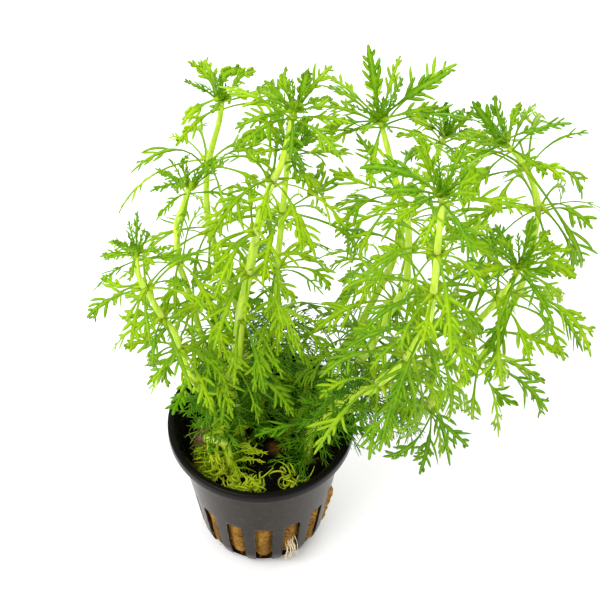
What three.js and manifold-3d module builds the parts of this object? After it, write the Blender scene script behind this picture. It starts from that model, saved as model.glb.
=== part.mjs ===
// Aquarium stem plant with feathery leaves, growing from a plug of rock wool in a round net pot.
// Units are millimetres, +Z is up and the origin is the middle of the pot's flat base.
import * as THREE from "three";
import { mergeVertices } from "three/addons/utils/BufferGeometryUtils.js";
import Module from "manifold-3d";

const wasm = await Module();
wasm.setup();

// Net pot
const POT_HEIGHT = 50;
const POT_RIM_RADIUS = 27.5;
const POT_RIM_WIDTH = 1.8;
const POT_LIP_HEIGHT = 3.4;
const POT_NECK_RADIUS = 24.8;
const POT_HEEL_RADIUS = 19.2;
const POT_HEEL_HEIGHT = 6;
const POT_BEVEL_RADIUS = 17.8;
const POT_BEVEL_HEIGHT = 1.8;
const POT_BASE_RADIUS = 14;
const POT_WALL = 1;
const POT_FLOOR = 1.2;
const POT_THROAT_DROP = 0.6;
const POT_SIDES = 30;
const SLOT_COUNT = 15;
const SLOT_WIDTH = 4.9;
const SLOT_TOP = 24;
const SLOT_BOTTOM = 1.4;
const SLOT_INNER_RADIUS = 14.6;
const SLOT_FIRST_TURN = -88.4;

// Rock wool plug
const WOOL_TOP = 38;
const WOOL_EDGE_DROP = 2;
const WOOL_EDGE_ROUND = 2.5;
const WOOL_FOOT_INSET = 0.6;
const WOOL_HEEL_LIFT = 0.3;
const WOOL_GAP = 0.4;
const WOOL_SIDES = 15;

// Stems and the rings of their whorls
const GAP = 0.3;
const STEM_SIDES = 6;
const STEM_TIP_RADIUS = 0.8;
const STEM_TAPER_FROM = 0.3;
const STEM_SECTION_LENGTH = 14;
const CURVE_STEPS = 8;
const AXIS_REACH = 2;
const RING_HALF_HEIGHT = 0.7;
const RING_WALL = 0.9;
const RING_SHOULDER = 0.3;
const BUD_RADIUS = 2.2;
const BUD_LIFT = 1.2;
const BUD_HEIGHT = 3;

// Leaves
const LEAVES_PER_WHORL = 5;
const LEAF_STEPS = 20;
const LEAF_HALF_WIDTH = 0.65;
const LEAF_KEEL = 0.8;
const LEAF_CREST = 0.15;
const LEAF_RADIUS = 1;
const LEAF_FOOT_RADIUS = 1.7;
const LEAF_FOOT_SHARE = 0.3;
const LOBE_SPREAD = 50;
const LOBES_PLAIN = [{ from: 10, to: 12, share: 0.3 }];
const LOBES_RICH = [{ from: 9, to: 11, share: 0.3 }, { from: 14, to: 16, share: 0.22 }];
const RICH_LENGTH = 20;
const GROUND_CLEARANCE = 3;
const LOW_LEAF_COUNT = 3;
const LOW_LEAF_SHARE = 0.72;
const LOW_LEAF_FOOT = 0.5;
const LOW_LEAF_DROOP = 0.35;
const LOW_LENGTH_SCATTER = 0.15;
const ARCH_LIFT = 0.7;
const LENGTH_SCATTER = 0.12;
const CROWN_DROOP = 0.1;
const FIRST_DROOP = 0.9;
const DROOP_BY_AGE = 0.15;
const MOST_DROOP = 1.5;
const DROOP_SCATTER = 0.3;

// Each stem: its thickest radius, the arc lengths of its whorls and low small leaves, its route, and by
// whorl (0 is the crown) the leaves that reach for a place of their own: that place, and how far they arch
const STEMS = [
  { name: "a", radius: 1.7, whorls: [46, 67, 85, 101, 120], low: [28], leaf: 24, crown: 14,
    route: [[-6, -2, 28], [-6, -1, 38], [-7, 1, 48], [-9, 3, 68], [-7, 3, 72], [-5, 4, 94], [-3, 5, 106],
      [-1, 5, 120], [1, 6, 132], [4, 7, 143], [7, 8, 151], [10, 9, 168]],
    aimed: {
      0: [[8, 16, 176, -1], [13, 15, 175, 0], [18, 11, 170, 2], [2, 12, 172, 3], [-5, 7, 164, 3]],
      1: [[-2, 12, 151, 4], [17, 6, 142, 4]],
      2: [[-2, 13, 137, 0], [-11, 2, 118, 4]],
      3: [[16, 7, 113, 5]],
    } },
  { name: "b", radius: 1.2, whorls: [60, 84, 108], low: [38], leaf: 28, crown: 14,
    route: [[-5, 9, 28], [-5, 9, 38], [-4, 11, 60], [-5, 14, 75], [-7, 17, 84], [-10, 19, 93],
      [-13, 21, 107], [-14, 22, 115], [-14, 24, 127], [-13, 25, 134], [-12, 25, 139], [-10, 26, 147],
      [-9, 27, 154]],
    aimed: {
      0: [[0, 32, 160, 0], [-6, 32, 160, 0], [-18, 33, 162, -2], [-20, 24, 148, 2], [2, 29, 156, 1]],
      1: [[-38, 18, 120, 4], [0, 22, 126, 6], [-22, 21, 125, 4], [4, 24, 131, 3]],
      2: [[-33, 17, 101, 3], [-27, 17, 101, 4], [-14, 15, 95, 4]],
    } },
  { name: "c", radius: 1.1, whorls: [46, 64, 82], low: [30], leaf: 21, crown: 11,
    route: [[-11, 4, 28], [-11, 4, 40], [-11, 6, 56], [-16, 8, 75], [-18, 9, 87], [-20, 10, 99],
      [-22, 11, 108], [-22, 12, 116], [-22, 13, 121], [-20, 13, 128], [-18, 14, 135]],
    aimed: {
      0: [[-28, 9, 138, 1], [-23, 16, 137, 0], [-22, 7, 120, 2], [-18, 18, 141, 0]],
      1: [[-30, 9, 103, 4], [-31, 4, 96, 4]],
      2: [[-29, 4, 80, 4], [-28, 6, 90, 2]],
      3: [[-27, 2, 63, 5], [-22, 1, 58, 4]],
    } },
  { name: "d", radius: 1.0, whorls: [64, 79, 94], low: [48], leaf: 19, crown: 10,
    route: [[-13, -3, 28], [-13, -3, 40], [-13, -3, 56], [-19, -4, 75], [-22, -5, 91], [-23, -5, 97],
      [-26, -6, 105], [-28, -7, 113], [-30, -8, 120], [-31, -9, 127], [-31, -9, 134]],
    aimed: {
      0: [[-38, -10, 133, 0], [-35, -9, 138, 0], [-29, -8, 141, 0], [-24, -9, 136, 0], [-32, -13, 131, 0]],
      1: [[-41, -6, 122, -2], [-45, -12, 111, 2], [-35, -12, 110, 2]],
      2: [[-30, -6, 105, 1], [-30, -8, 99, 1]],
      3: [[-37, -5, 91, 1], [-30, -7, 85, 3]],
    } },
  { name: "e", radius: 1.3, whorls: [50, 70, 92], low: [38], leaf: 24, crown: 12,
    route: [[8, 10, 28], [8, 10, 38], [13, 9, 49], [15, 11, 54], [20, 14, 57], [23, 16, 61],
      [28, 19, 68], [32, 22, 76], [35, 24, 83], [38, 26, 90], [40, 28, 100], [44, 30, 112],
      [48, 32, 124], [51, 34, 134]],
    aimed: {
      0: [[41, 37, 138, 1], [45, 38, 139, 0], [51, 38, 139, 0], [57, 37, 138, 0]],
    } },
  { name: "f", radius: 1.4, whorls: [59, 76, 93, 111, 129], low: [28], leaf: 25, crown: 16,
    route: [[14, -6, 28], [14, -6, 40], [15, -5, 51], [21, -6, 64], [25, -7, 69], [28, -8, 74],
      [32, -8, 75], [34, -9, 80], [38, -11, 88], [41, -12, 95], [43, -14, 104], [45, -15, 111],
      [46, -16, 122], [46, -18, 134], [46, -19, 147], [46, -20, 159], [46, -20, 168]],
    aimed: {
      0: [[40, -11, 180, 0], [32, -20, 169, 3], [57, -16, 172, 2], [26, -12, 169, 3]],
      1: [[27, -23, 138, 5], [60, -20, 144, 4]],
      2: [[38, -24, 112, 4]],
      3: [[52, -26, 84, 4]],
      4: [[40, -14, 59, 5]],
      5: [[50, -13, 70, 5], [35, -14, 58, 4]],
    } },
  { name: "g", radius: 1.35, whorls: [57, 79, 107, 137, 152], low: [30], leaf: 25, crown: 15,
    route: [[12, -1, 28], [12, -1, 38], [14, 0, 45], [18, 0, 51], [28, 0, 56], [37, -1, 57],
      [44, -2, 57], [48, -1, 58], [54, 0, 63], [59, 1, 68], [65, 3, 80], [68, 4, 89], [71, 6, 97],
      [73, 7, 105], [74, 8, 112], [75, 10, 124], [75, 11, 131], [73, 12, 138], [70, 13, 145],
      [65, 14, 151]],
    aimed: {
      0: [[56, 21, 160, 0], [68, 20, 159, 0], [76, 17, 154, 1], [58, 12, 147, 1]],
      1: [[86, 9, 135, 5], [88, 1, 117, 11], [52, 9, 135, 4]],
      2: [[85, 9, 125, 3], [86, 1, 110, 6], [79, 5, 118, 2]],
      4: [[82, -1, 68, 2], [74, -3, 62, -6], [61, -5, 57, 3], [80, -3, 62, 2]],
      5: [[47, -10, 36, 1], [57, -9, 38, 4], [36, -8, 42, 4], [60, -8, 48, 3]],
    } },
  { name: "h", radius: 1.25, whorls: [60, 82, 103], low: [27], leaf: 24, crown: 14,
    route: [[14, 6, 28], [14, 6, 40], [19, 5, 50], [26, 5, 55], [33, 5, 60], [40, 5, 65], [46, 4, 70],
      [51, 3, 76], [56, 2, 83], [59, 0, 92], [63, -2, 103], [66, -4, 112], [68, -6, 120],
      [69, -8, 128]],
    aimed: {
      0: [[83, -5, 131, 1], [83, -10, 125, 3], [63, -4, 134, 1], [81, -12, 119, 4]],
      1: [[91, -11, 93, 6], [76, -9, 99, 9], [67, -15, 84, 5]],
      2: [[86, -3, 82, 4], [58, -5, 78, 4], [53, -4, 80, 4]],
    } },
  { name: "j", radius: 1.3, whorls: [55, 75, 95, 117], low: [40], leaf: 24, crown: 19,
    route: [[7, 3, 28], [8, 3, 40], [12, 4, 48], [17, 4, 55], [25, 4, 66], [31, 6, 75], [34, 7, 84],
      [38, 8, 93], [41, 9, 101], [41, 10, 109], [41, 11, 118], [40, 12, 127], [38, 12, 134],
      [36, 13, 142], [34, 14, 151], [32, 14, 160]],
    aimed: {
      0: [[29, 26, 175, 0], [50, 21, 169, 1], [47, 16, 163, 2], [17, 19, 167, 2], [19, 13, 159, 3]],
      1: [[19, 16, 139, 1], [28, 4, 116, 6], [52, 7, 124, 4], [26, 20, 149, 0]],
    } },
  { name: "k", radius: 1.15, whorls: [57, 77, 99], low: [28], leaf: 22, crown: 12,
    route: [[0, 4, 28], [0, 5, 38], [0, 7, 50], [1, 9, 60], [3, 11, 74], [5, 12, 85], [5, 13, 102],
      [6, 13, 115], [7, 14, 128], [8, 15, 140], [9, 15, 148]],
    aimed: {
      0: [[-6, 15, 148, 4], [16, 12, 142, 5], [21, 18, 152, 2], [14, 21, 155, 0]],
      1: [[24, 20, 134, 0], [26, 8, 112, 9], [-7, 12, 123, 3]],
      2: [[20, 10, 97, 4]],
    } },
  { name: "old", radius: 1.3, whorls: [], low: [27], leaf: 20, crown: 0, aimed: {},
    route: [[-9, -11, 28], [-9, -11, 38], [-9, -12, 45], [-10, -10, 51], [-14, -9, 53], [-18, -9, 53]] },
];

const vec = (x, y, z) => new THREE.Vector3(x, y, z);
const radians = THREE.MathUtils.degToRad;
const along = (from, direction, distance) => from.clone().addScaledVector(direction, distance);

// A repeatable scatter from -1 to 1 for each whole number
const vary = (n) => ((n * n * 31 + n * 9301 + 49297) % 233280) / 116640 - 1;

// A closed mesh from corner points and triangles
function meshGeometry(corners, triangles) {
  const geometry = new THREE.BufferGeometry();
  const values = corners.flatMap((corner) => corner.toArray());
  geometry.setAttribute("position", new THREE.Float32BufferAttribute(values, 3));
  geometry.setIndex(triangles.flat());
  return geometry;
}

// Turns a closed geometry into a solid that can be joined and cut
function toSolid(source) {
  const geometry = source.clone();
  geometry.deleteAttribute("normal");
  geometry.deleteAttribute("uv");
  const merged = mergeVertices(geometry, 1e-4);
  const position = merged.getAttribute("position");
  const index = merged.getIndex().array;
  const triangles = [];
  for (let i = 0; i < index.length; i += 3) {
    const [a, b, c] = [index[i], index[i + 1], index[i + 2]];
    if (a !== b && b !== c && c !== a) triangles.push(a, b, c);
  }
  const mesh = new wasm.Mesh({
    numProp: 3,
    vertProperties: Float32Array.from(position.array),
    triVerts: Uint32Array.from(triangles),
  });
  return new wasm.Manifold(mesh);
}

function toGeometry(solid) {
  const mesh = solid.getMesh();
  const geometry = new THREE.BufferGeometry();
  geometry.setAttribute("position", new THREE.BufferAttribute(mesh.vertProperties, 3));
  geometry.setIndex(new THREE.BufferAttribute(mesh.triVerts, 1));
  return geometry;
}

// Turns a closed profile of [radius, height] points about the Z axis
function turned(profile, sides) {
  const points = profile.map(([radius, height]) => new THREE.Vector2(radius, height));
  points.push(points[0].clone());
  const geometry = new THREE.LatheGeometry(points, sides);
  geometry.rotateX(Math.PI / 2);
  geometry.rotateZ(radians(SLOT_FIRST_TURN) + Math.PI / sides);
  return toSolid(geometry);
}

// Outer radius of the pot's tapered body at a height
function bodyRadius(height) {
  const rise = (height - POT_HEEL_HEIGHT) / (POT_HEIGHT - POT_LIP_HEIGHT - POT_HEEL_HEIGHT);
  return POT_HEEL_RADIUS + (POT_NECK_RADIUS - POT_HEEL_RADIUS) * rise;
}

// A block that cuts one slot through the wall, down to the base
function slotCutter(turn) {
  const length = POT_RIM_RADIUS + 2 - SLOT_INNER_RADIUS;
  const geometry = new THREE.BoxGeometry(length, SLOT_WIDTH, SLOT_TOP - SLOT_BOTTOM);
  geometry.translate(SLOT_INNER_RADIUS + length / 2, 0, (SLOT_TOP + SLOT_BOTTOM) / 2);
  geometry.rotateZ(radians(turn));
  return toSolid(geometry);
}

// The tapered pot with its rolled lip, closed base and ring of slots
function netPotGeometry() {
  const neck = POT_HEIGHT - POT_LIP_HEIGHT;
  const profile = [
    [0, 0], [POT_BASE_RADIUS, 0], [POT_BEVEL_RADIUS, POT_BEVEL_HEIGHT], [POT_HEEL_RADIUS, POT_HEEL_HEIGHT],
    [POT_NECK_RADIUS, neck], [POT_RIM_RADIUS, neck], [POT_RIM_RADIUS, POT_HEIGHT],
    [POT_RIM_RADIUS - POT_RIM_WIDTH, POT_HEIGHT], [POT_NECK_RADIUS - POT_WALL, neck - POT_THROAT_DROP],
    [POT_HEEL_RADIUS - POT_WALL, POT_HEEL_HEIGHT], [POT_BASE_RADIUS, POT_FLOOR], [0, POT_FLOOR],
  ];
  let pot = turned(profile, POT_SIDES);
  for (let i = 0; i < SLOT_COUNT; i += 1) {
    pot = pot.subtract(slotCutter(SLOT_FIRST_TURN + (360 / SLOT_COUNT) * i));
  }
  return toGeometry(pot);
}

// A smooth path through the route's points, as even short chords with their arc lengths
function smoothRoute(route) {
  const points = route.map(([x, y, z]) => vec(x, y, z));
  const chords = [points[0].clone()];
  for (let i = 0; i < points.length - 1; i += 1) {
    const before = points[Math.max(i - 1, 0)];
    const start = points[i];
    const end = points[i + 1];
    const after = points[Math.min(i + 2, points.length - 1)];
    for (let step = 1; step <= CURVE_STEPS; step += 1) {
      const u = step / CURVE_STEPS;
      const blend = (p0, p1, p2, p3) => 0.5 * (2 * p1 + (p2 - p0) * u
        + (2 * p0 - 5 * p1 + 4 * p2 - p3) * u * u + (3 * p1 - p0 - 3 * p2 + p3) * u * u * u);
      chords.push(vec(blend(before.x, start.x, end.x, after.x), blend(before.y, start.y, end.y, after.y),
        blend(before.z, start.z, end.z, after.z)));
    }
  }
  const arcs = [0];
  for (let i = 1; i < chords.length; i += 1) arcs.push(arcs[i - 1] + chords[i].distanceTo(chords[i - 1]));
  return { chords, arcs, length: arcs[arcs.length - 1] };
}

function pointAt(path, arc) {
  let i = 1;
  while (i < path.arcs.length - 1 && path.arcs[i] < arc) i += 1;
  const share = (arc - path.arcs[i - 1]) / (path.arcs[i] - path.arcs[i - 1]);
  return path.chords[i - 1].clone().lerp(path.chords[i], share);
}

// Point, direction and two cross directions of a stem at an arc length
function stemFrame(stem, arc) {
  const point = pointAt(stem.path, arc);
  const from = pointAt(stem.path, Math.max(arc - AXIS_REACH, 0));
  const to = pointAt(stem.path, Math.min(arc + AXIS_REACH, stem.path.length));
  const axis = to.sub(from).normalize();
  const back = vec(0, 1, 0).addScaledVector(axis, -axis.y).normalize();
  const right = back.clone().cross(axis);
  return { point, axis, right, back };
}

function stemRadius(stem, arc) {
  const share = arc / stem.path.length;
  const taper = stem.crown ? Math.max(share - STEM_TAPER_FROM, 0) / (1 - STEM_TAPER_FROM) : 0;
  return stem.radius + (STEM_TIP_RADIUS - stem.radius) * taper;
}

// Arc lengths of the stem's sections: its ends, its whorls, its low leaves and the places between
function stemSections(stem) {
  const marks = [0, ...stem.low, ...stem.whorls, stem.path.length].sort((p, q) => p - q);
  const sections = [0];
  for (let i = 1; i < marks.length; i += 1) {
    const gap = marks[i] - marks[i - 1];
    const parts = Math.max(Math.round(gap / STEM_SECTION_LENGTH), 1);
    for (let part = 1; part <= parts; part += 1) sections.push(marks[i - 1] + (gap * part) / parts);
  }
  return sections;
}

// A closed many-sided tube through sections of a stem, fatter by `extra` and longer at its foot by `below`
function stemTube(stem, sections, extra, below) {
  const corners = [];
  const triangles = [];
  sections.forEach((arc, row) => {
    const { point, axis, right, back } = stemFrame(stem, arc);
    if (row === 0) point.addScaledVector(axis, -below);
    const radius = stemRadius(stem, arc) + extra;
    for (let side = 0; side < STEM_SIDES; side += 1) {
      const turn = (side * 2 * Math.PI) / STEM_SIDES;
      corners.push(point.clone().addScaledVector(right, radius * Math.cos(turn))
        .addScaledVector(back, radius * Math.sin(turn)));
    }
  });
  for (let row = 0; row < sections.length - 1; row += 1) {
    for (let side = 0; side < STEM_SIDES; side += 1) {
      const next = (side + 1) % STEM_SIDES;
      const [a, b] = [row * STEM_SIDES + side, row * STEM_SIDES + next];
      const [c, d] = [a + STEM_SIDES, b + STEM_SIDES];
      triangles.push([a, b, d], [a, d, c]);
    }
  }
  const top = (sections.length - 1) * STEM_SIDES;
  for (let side = 1; side < STEM_SIDES - 1; side += 1) {
    triangles.push([0, side + 1, side], [top, top + side, top + side + 1]);
  }
  return meshGeometry(corners, triangles);
}

// Shortest distance between two straight pieces
function pieceDistance(p, q) {
  const u = p.to.clone().sub(p.from);
  const v = q.to.clone().sub(q.from);
  const w = p.from.clone().sub(q.from);
  const [a, b, c, d, e] = [u.dot(u), u.dot(v), v.dot(v), u.dot(w), v.dot(w)];
  const clamp = THREE.MathUtils.clamp;
  const det = a * c - b * b;
  let s = det > 1e-9 ? clamp((b * e - c * d) / det, 0, 1) : 0;
  const t = clamp((b * s + e) / c, 0, 1);
  s = clamp((b * t - d) / a, 0, 1);
  return w.addScaledVector(u, s).addScaledVector(v, -t).length();
}

function makePiece(from, to, radius) {
  const middle = from.clone().add(to).multiplyScalar(0.5);
  return { from, to, radius, middle, reach: from.distanceTo(to) / 2 + radius };
}

function piecesClash(p, q) {
  const near = p.reach + q.reach + GAP;
  if (p.middle.distanceToSquared(q.middle) > near * near) return false;
  return pieceDistance(p, q) < p.radius + q.radius + GAP;
}

// True where a point of a leaf would touch the pot, the wool or the ground
function hitsPot(point) {
  const room = LEAF_RADIUS + GAP;
  const radius = Math.hypot(point.x, point.y);
  if (point.z < GROUND_CLEARANCE) return true;
  if (point.z > POT_HEIGHT + room) return false;
  if (radius > POT_RIM_RADIUS + room) return false;
  if (radius > POT_NECK_RADIUS - POT_WALL - room) return true;
  return point.z < WOOL_TOP + room;
}

// Adds the lobes to a midrib of even steps that starts outward from its stem
function withLobes(ribs, out, across, twist, rich, length) {
  const ways = [];
  for (let step = 0; step < LEAF_STEPS; step += 1) {
    ways.push(ribs[step + 1].clone().sub(ribs[step]).normalize());
  }
  const lobes = (rich ? LOBES_RICH : LOBES_PLAIN).map(({ from, to, share }) => {
    const middle = Math.floor((from + to) / 2);
    const way = ways[middle];
    const top = way.clone().cross(across).normalize();
    const side = across.clone().multiplyScalar(Math.cos(twist)).addScaledVector(top, Math.sin(twist));
    const aside = share * length * Math.sin(radians(LOBE_SPREAD));
    const ahead = share * length * Math.cos(radians(LOBE_SPREAD));
    const tips = [1, -1].map((sign) => along(ribs[middle], side, sign * aside).addScaledVector(way, ahead));
    return { from, to, middle, tips };
  });
  return { ribs, ways, out, across, lobes };
}

// Outward direction, sideways direction and foot of a leaf at a turn round its stem
function leafFoot(frame, turn) {
  const { right, back } = frame;
  const out = right.clone().multiplyScalar(Math.cos(turn)).addScaledVector(back, Math.sin(turn));
  const across = back.clone().multiplyScalar(Math.cos(turn)).addScaledVector(right, -Math.sin(turn));
  const foot = along(frame.point, out, frame.offset).addScaledVector(frame.axis, frame.lift);
  return { out, across, foot };
}

// A leaf that bends over from its tilt and droops towards its tip
function leafShape(frame, turn, length, tilt, arch, droop, twist, rich) {
  const { out, across, foot } = leafFoot(frame, turn);
  const ribs = [foot];
  for (let step = 0; step < LEAF_STEPS; step += 1) {
    const share = (step + 0.5) / LEAF_STEPS;
    const angle = tilt + arch * share;
    const way = frame.axis.clone().multiplyScalar(Math.cos(angle)).addScaledVector(out, Math.sin(angle));
    way.z -= droop * share;
    ribs.push(along(ribs[step], way.normalize(), length / LEAF_STEPS));
  }
  return withLobes(ribs, out, across, twist, rich, length);
}

// A leaf that reaches its own place in one arch, up and away from its stem
function aimedShape(frame, turn, tip, rise, twist) {
  const { out, across, foot } = leafFoot(frame, turn);
  const chord = tip.clone().sub(foot);
  const length = chord.length();
  chord.normalize();
  const bulge = out.clone().addScaledVector(vec(0, 0, 1), ARCH_LIFT);
  bulge.addScaledVector(chord, -bulge.dot(chord)).normalize();
  across.addScaledVector(chord, -across.dot(chord)).normalize();
  const bend = foot.clone().add(tip).multiplyScalar(0.5).addScaledVector(bulge, 2 * rise);
  const ribs = [];
  for (let step = 0; step <= LEAF_STEPS; step += 1) {
    const u = step / LEAF_STEPS;
    ribs.push(foot.clone().multiplyScalar((1 - u) * (1 - u)).addScaledVector(bend, 2 * u * (1 - u))
      .addScaledVector(tip, u * u));
  }
  return withLobes(ribs, out, across, twist, length > RICH_LENGTH, length);
}

// A leaf as straight pieces: its broad foot first, then the rest of the midrib and the lobes
function leafPieces(leaf) {
  const stops = [...leaf.lobes.flatMap((lobe) => [lobe.from, lobe.to]), LEAF_STEPS];
  const foot = leaf.ribs[0].clone().lerp(leaf.ribs[stops[0]], LEAF_FOOT_SHARE);
  const pieces = [makePiece(leaf.ribs[0], foot, LEAF_FOOT_RADIUS)];
  pieces.push(makePiece(foot, leaf.ribs[stops[0]], LEAF_RADIUS));
  for (let i = 1; i < stops.length; i += 1) {
    pieces.push(makePiece(leaf.ribs[stops[i - 1]], leaf.ribs[stops[i]], LEAF_RADIUS));
  }
  for (const lobe of leaf.lobes) {
    for (const tip of lobe.tips) pieces.push(makePiece(leaf.ribs[lobe.middle], tip, LEAF_RADIUS));
  }
  return pieces;
}

// What stands already: leaves and stems as straight pieces with a radius
const standing = [];

// True where a leaf's stalk leads away from its stem
function leadsOutward({ ribs, lobes, out }) {
  const stalk = ribs[lobes[0].from].clone().sub(ribs[0]);
  return stalk.dot(out) > LEAST_OUTWARD * stalk.length();
}

// True where a leaf touches nothing but, at its foot, its own stem and whorl
function isFree(leaf, pieces, ownStem, ownWhorl) {
  for (const rib of leaf.ribs.slice(2)) if (hitsPot(rib)) return false;
  for (const lobe of leaf.lobes) for (const tip of lobe.tips) if (hitsPot(tip)) return false;
  return pieces.every((piece, i) => standing.every((other) => {
    const own = other.owner === ownWhorl || other.owner === ownStem;
    if (i === 0 && own) return true;
    if (other.owner === ownWhorl && other.foot) return true;
    return !piecesClash(piece, other);
  }));
}

const SHRINKS = [1, 0.88, 0.75, 0.62, 0.5];
const TILT_CHANGES = [0, -12, 12, -24, 24, 36];
const TURN_CHANGES = [0, 12, -12, 24, -24];
const AIMED_SHRINKS = [1, 0.93, 0.86];
const RISE_CHANGES = [0, 2, -2];
const BACK_SHIFTS = [0, 3, -3, 6, -6, 9, -9];
const MOST_SHIFT = 0.4;
const LEAST_OUTWARD = 0.3;
const SHORTEST_LEAF = 7;
const LONGEST_LEAF = 45;
const EASES = [1, 0.8, 0.6, 0.4, 0.2];
const CROWN_SPACING = [40, 125];
const WHORL_SPACING = [52, 92];
const BACK_AND_DOWN = vec(0, 0.64, -0.77);

// Keeps a leaf and its place if it is free there
function keepIfFree(leaf, ownStem, ownWhorl) {
  const pieces = leafPieces(leaf);
  if (!leadsOutward(leaf) || !isFree(leaf, pieces, ownStem, ownWhorl)) return null;
  pieces.forEach((piece, i) => standing.push({ ...piece, owner: ownWhorl, foot: i === 0 }));
  return leaf;
}

// Grows one leaf where it is free, bending, turning or shortening it as real leaves do in a crowd
function growLeaf(frame, plan, ownStem, ownWhorl) {
  for (const shrink of SHRINKS) {
    for (const tiltChange of TILT_CHANGES) {
      for (const turnChange of TURN_CHANGES) {
        const shape = leafShape(frame, plan.turn + radians(turnChange), plan.length * shrink,
          plan.tilt + radians(tiltChange), plan.arch, plan.droop, plan.twist, plan.rich);
        const leaf = keepIfFree(shape, ownStem, ownWhorl);
        if (leaf) return leaf;
      }
    }
  }
  return null;
}

// Grows a leaf towards its own place, giving way to the leaves before and behind it
function growAimedLeaf(frame, turn, [x, y, z, rise], twist, ownStem, ownWhorl) {
  const { foot } = leafFoot(frame, turn);
  const place = vec(x, y, z);
  const shifts = BACK_SHIFTS.filter((shift) => Math.abs(shift) < MOST_SHIFT * frame.point.distanceTo(place));
  for (const shrink of AIMED_SHRINKS) {
    for (const riseChange of RISE_CHANGES) {
      for (const shift of shifts) {
        const tip = frame.point.clone().lerp(place, shrink).addScaledVector(BACK_AND_DOWN, shift);
        tip.sub(foot).clampLength(SHORTEST_LEAF, LONGEST_LEAF).add(foot);
        const leaf = keepIfFree(aimedShape(frame, turn, tip, rise + riseChange, twist), ownStem, ownWhorl);
        if (leaf) return leaf;
      }
    }
  }
  return null;
}

// Adds a leaf to a mesh, starting from its right, left and keel corners
function stitchLeaf(corners, triangles, leaf, start) {
  const add = (point) => corners.push(point) - 1;
  const section = (step) => {
    const way = leaf.ways[Math.min(step, LEAF_STEPS - 1)];
    const top = way.clone().cross(leaf.across).normalize();
    const centre = along(leaf.ribs[step], top, LEAF_CREST);
    return {
      right: add(along(centre, leaf.across, -LEAF_HALF_WIDTH)),
      left: add(along(centre, leaf.across, LEAF_HALF_WIDTH)),
      keel: add(along(centre, top, -LEAF_KEEL)),
    };
  };
  let a = start;
  for (const lobe of leaf.lobes) {
    const b = section(lobe.from);
    triangles.push([a.left, a.right, b.right], [a.left, b.right, b.left]);
    triangles.push([a.right, a.keel, b.keel], [a.right, b.keel, b.right]);
    triangles.push([a.keel, a.left, b.left], [a.keel, b.left, b.keel]);
    a = section(lobe.to);
    const left = add(lobe.tips[0]);
    const right = add(lobe.tips[1]);
    triangles.push([b.left, b.right, a.right], [b.left, a.right, a.left]);
    triangles.push([a.right, b.right, right], [b.left, a.left, left]);
    triangles.push([b.right, b.keel, right], [b.keel, a.keel, right], [a.keel, a.right, right]);
    triangles.push([b.keel, b.left, left], [a.left, a.keel, left], [a.keel, b.keel, left]);
  }
  const tip = add(leaf.ribs[LEAF_STEPS]);
  triangles.push([a.left, a.right, tip], [a.right, a.keel, tip], [a.keel, a.left, tip]);
}

// How a leaf of a whorl stands: upright in the crown, spreading and then drooping lower down
function leafPlan(stem, number, leafNumber, age, turn) {
  const seed = 1000 * number + 40 * age + 7 * leafNumber + 11;
  const crown = age === 0;
  const spread = crown ? 42 : Math.min(60 + 5 * age, 80);
  const droop = Math.min(FIRST_DROOP + DROOP_BY_AGE * age, MOST_DROOP) * (1 + DROOP_SCATTER * vary(seed + 3));
  return {
    turn: turn + radians(9 * vary(seed)),
    length: (crown ? stem.crown : stem.leaf) * (1 + LENGTH_SCATTER * vary(seed + 1)),
    tilt: radians(spread + 14 * vary(seed + 2)),
    arch: radians(crown ? 20 : 38),
    droop: crown ? CROWN_DROOP : droop,
    twist: radians(22 * vary(seed + 4)),
    rich: leafNumber === 0,
  };
}

// Inner radius of a whorl's ring, clear of the stem all round
const ringRadius = (stem, arc) => (stemRadius(stem, arc) + GAP) / Math.cos(Math.PI / LEAVES_PER_WHORL);
const whorlName = (stem, age) => `${stem.name}_${age}`;
const whorlArc = (stem, age) => (age === 0 ? stem.path.length : stem.whorls[stem.whorls.length - age]);

// Keeps the place of a whorl's ring or a crown's bud free of other leaves
function reserveWhorl(stem, age) {
  const arc = whorlArc(stem, age);
  const { point, axis } = stemFrame(stem, arc);
  const middle = along(point, axis, age === 0 ? BUD_LIFT : 0);
  const from = along(middle, axis, -RING_HALF_HEIGHT);
  const to = along(middle, axis, RING_HALF_HEIGHT);
  const radius = age === 0 ? BUD_RADIUS : ringRadius(stem, arc) + RING_WALL;
  standing.push({ ...makePiece(from, to, radius), owner: whorlName(stem, age), foot: true });
}

const HALF_PLACE = Math.PI / LEAVES_PER_WHORL;

// The ways to share out a number of leaves, in order round the stem, among its places from the first on
function sharings(count, from = 0) {
  if (count === 1) return [[from]];
  const found = [];
  for (let next = from + 1; next < LEAVES_PER_WHORL; next += 1) {
    for (const rest of sharings(count - 1, next)) found.push([from, ...rest]);
  }
  return found;
}

// The sharing whose even places come nearest to the turns, with the turn of its first place
function bestSharing(turns) {
  const options = sharings(turns.length).map((places) => {
    const starts = turns.map((turn, i) => turn - 2 * HALF_PLACE * places[i]);
    const phase = starts.reduce((sum, start) => sum + start, 0) / starts.length;
    const cost = starts.reduce((sum, start) => sum + (start - phase) ** 2, 0);
    return { places, phase, cost };
  });
  return options.reduce((best, option) => (option.cost < best.cost ? option : best));
}

// Moves even places towards the turns of their aimed leaves, as far as the room between them allows
function easePlaces(places, [least, most]) {
  for (const ease of EASES) {
    const turns = places.map(({ turn, own }) => turn + ease * (own - turn));
    const round = [turns[turns.length - 1] - 2 * Math.PI, ...turns];
    const gaps = turns.map((turn, k) => turn - round[k]);
    if (Math.min(...gaps) < radians(least) || Math.max(...gaps) > radians(most)) continue;
    return places.map((place, k) => ({ ...place, turn: turns[k] }));
  }
  return places;
}

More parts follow.
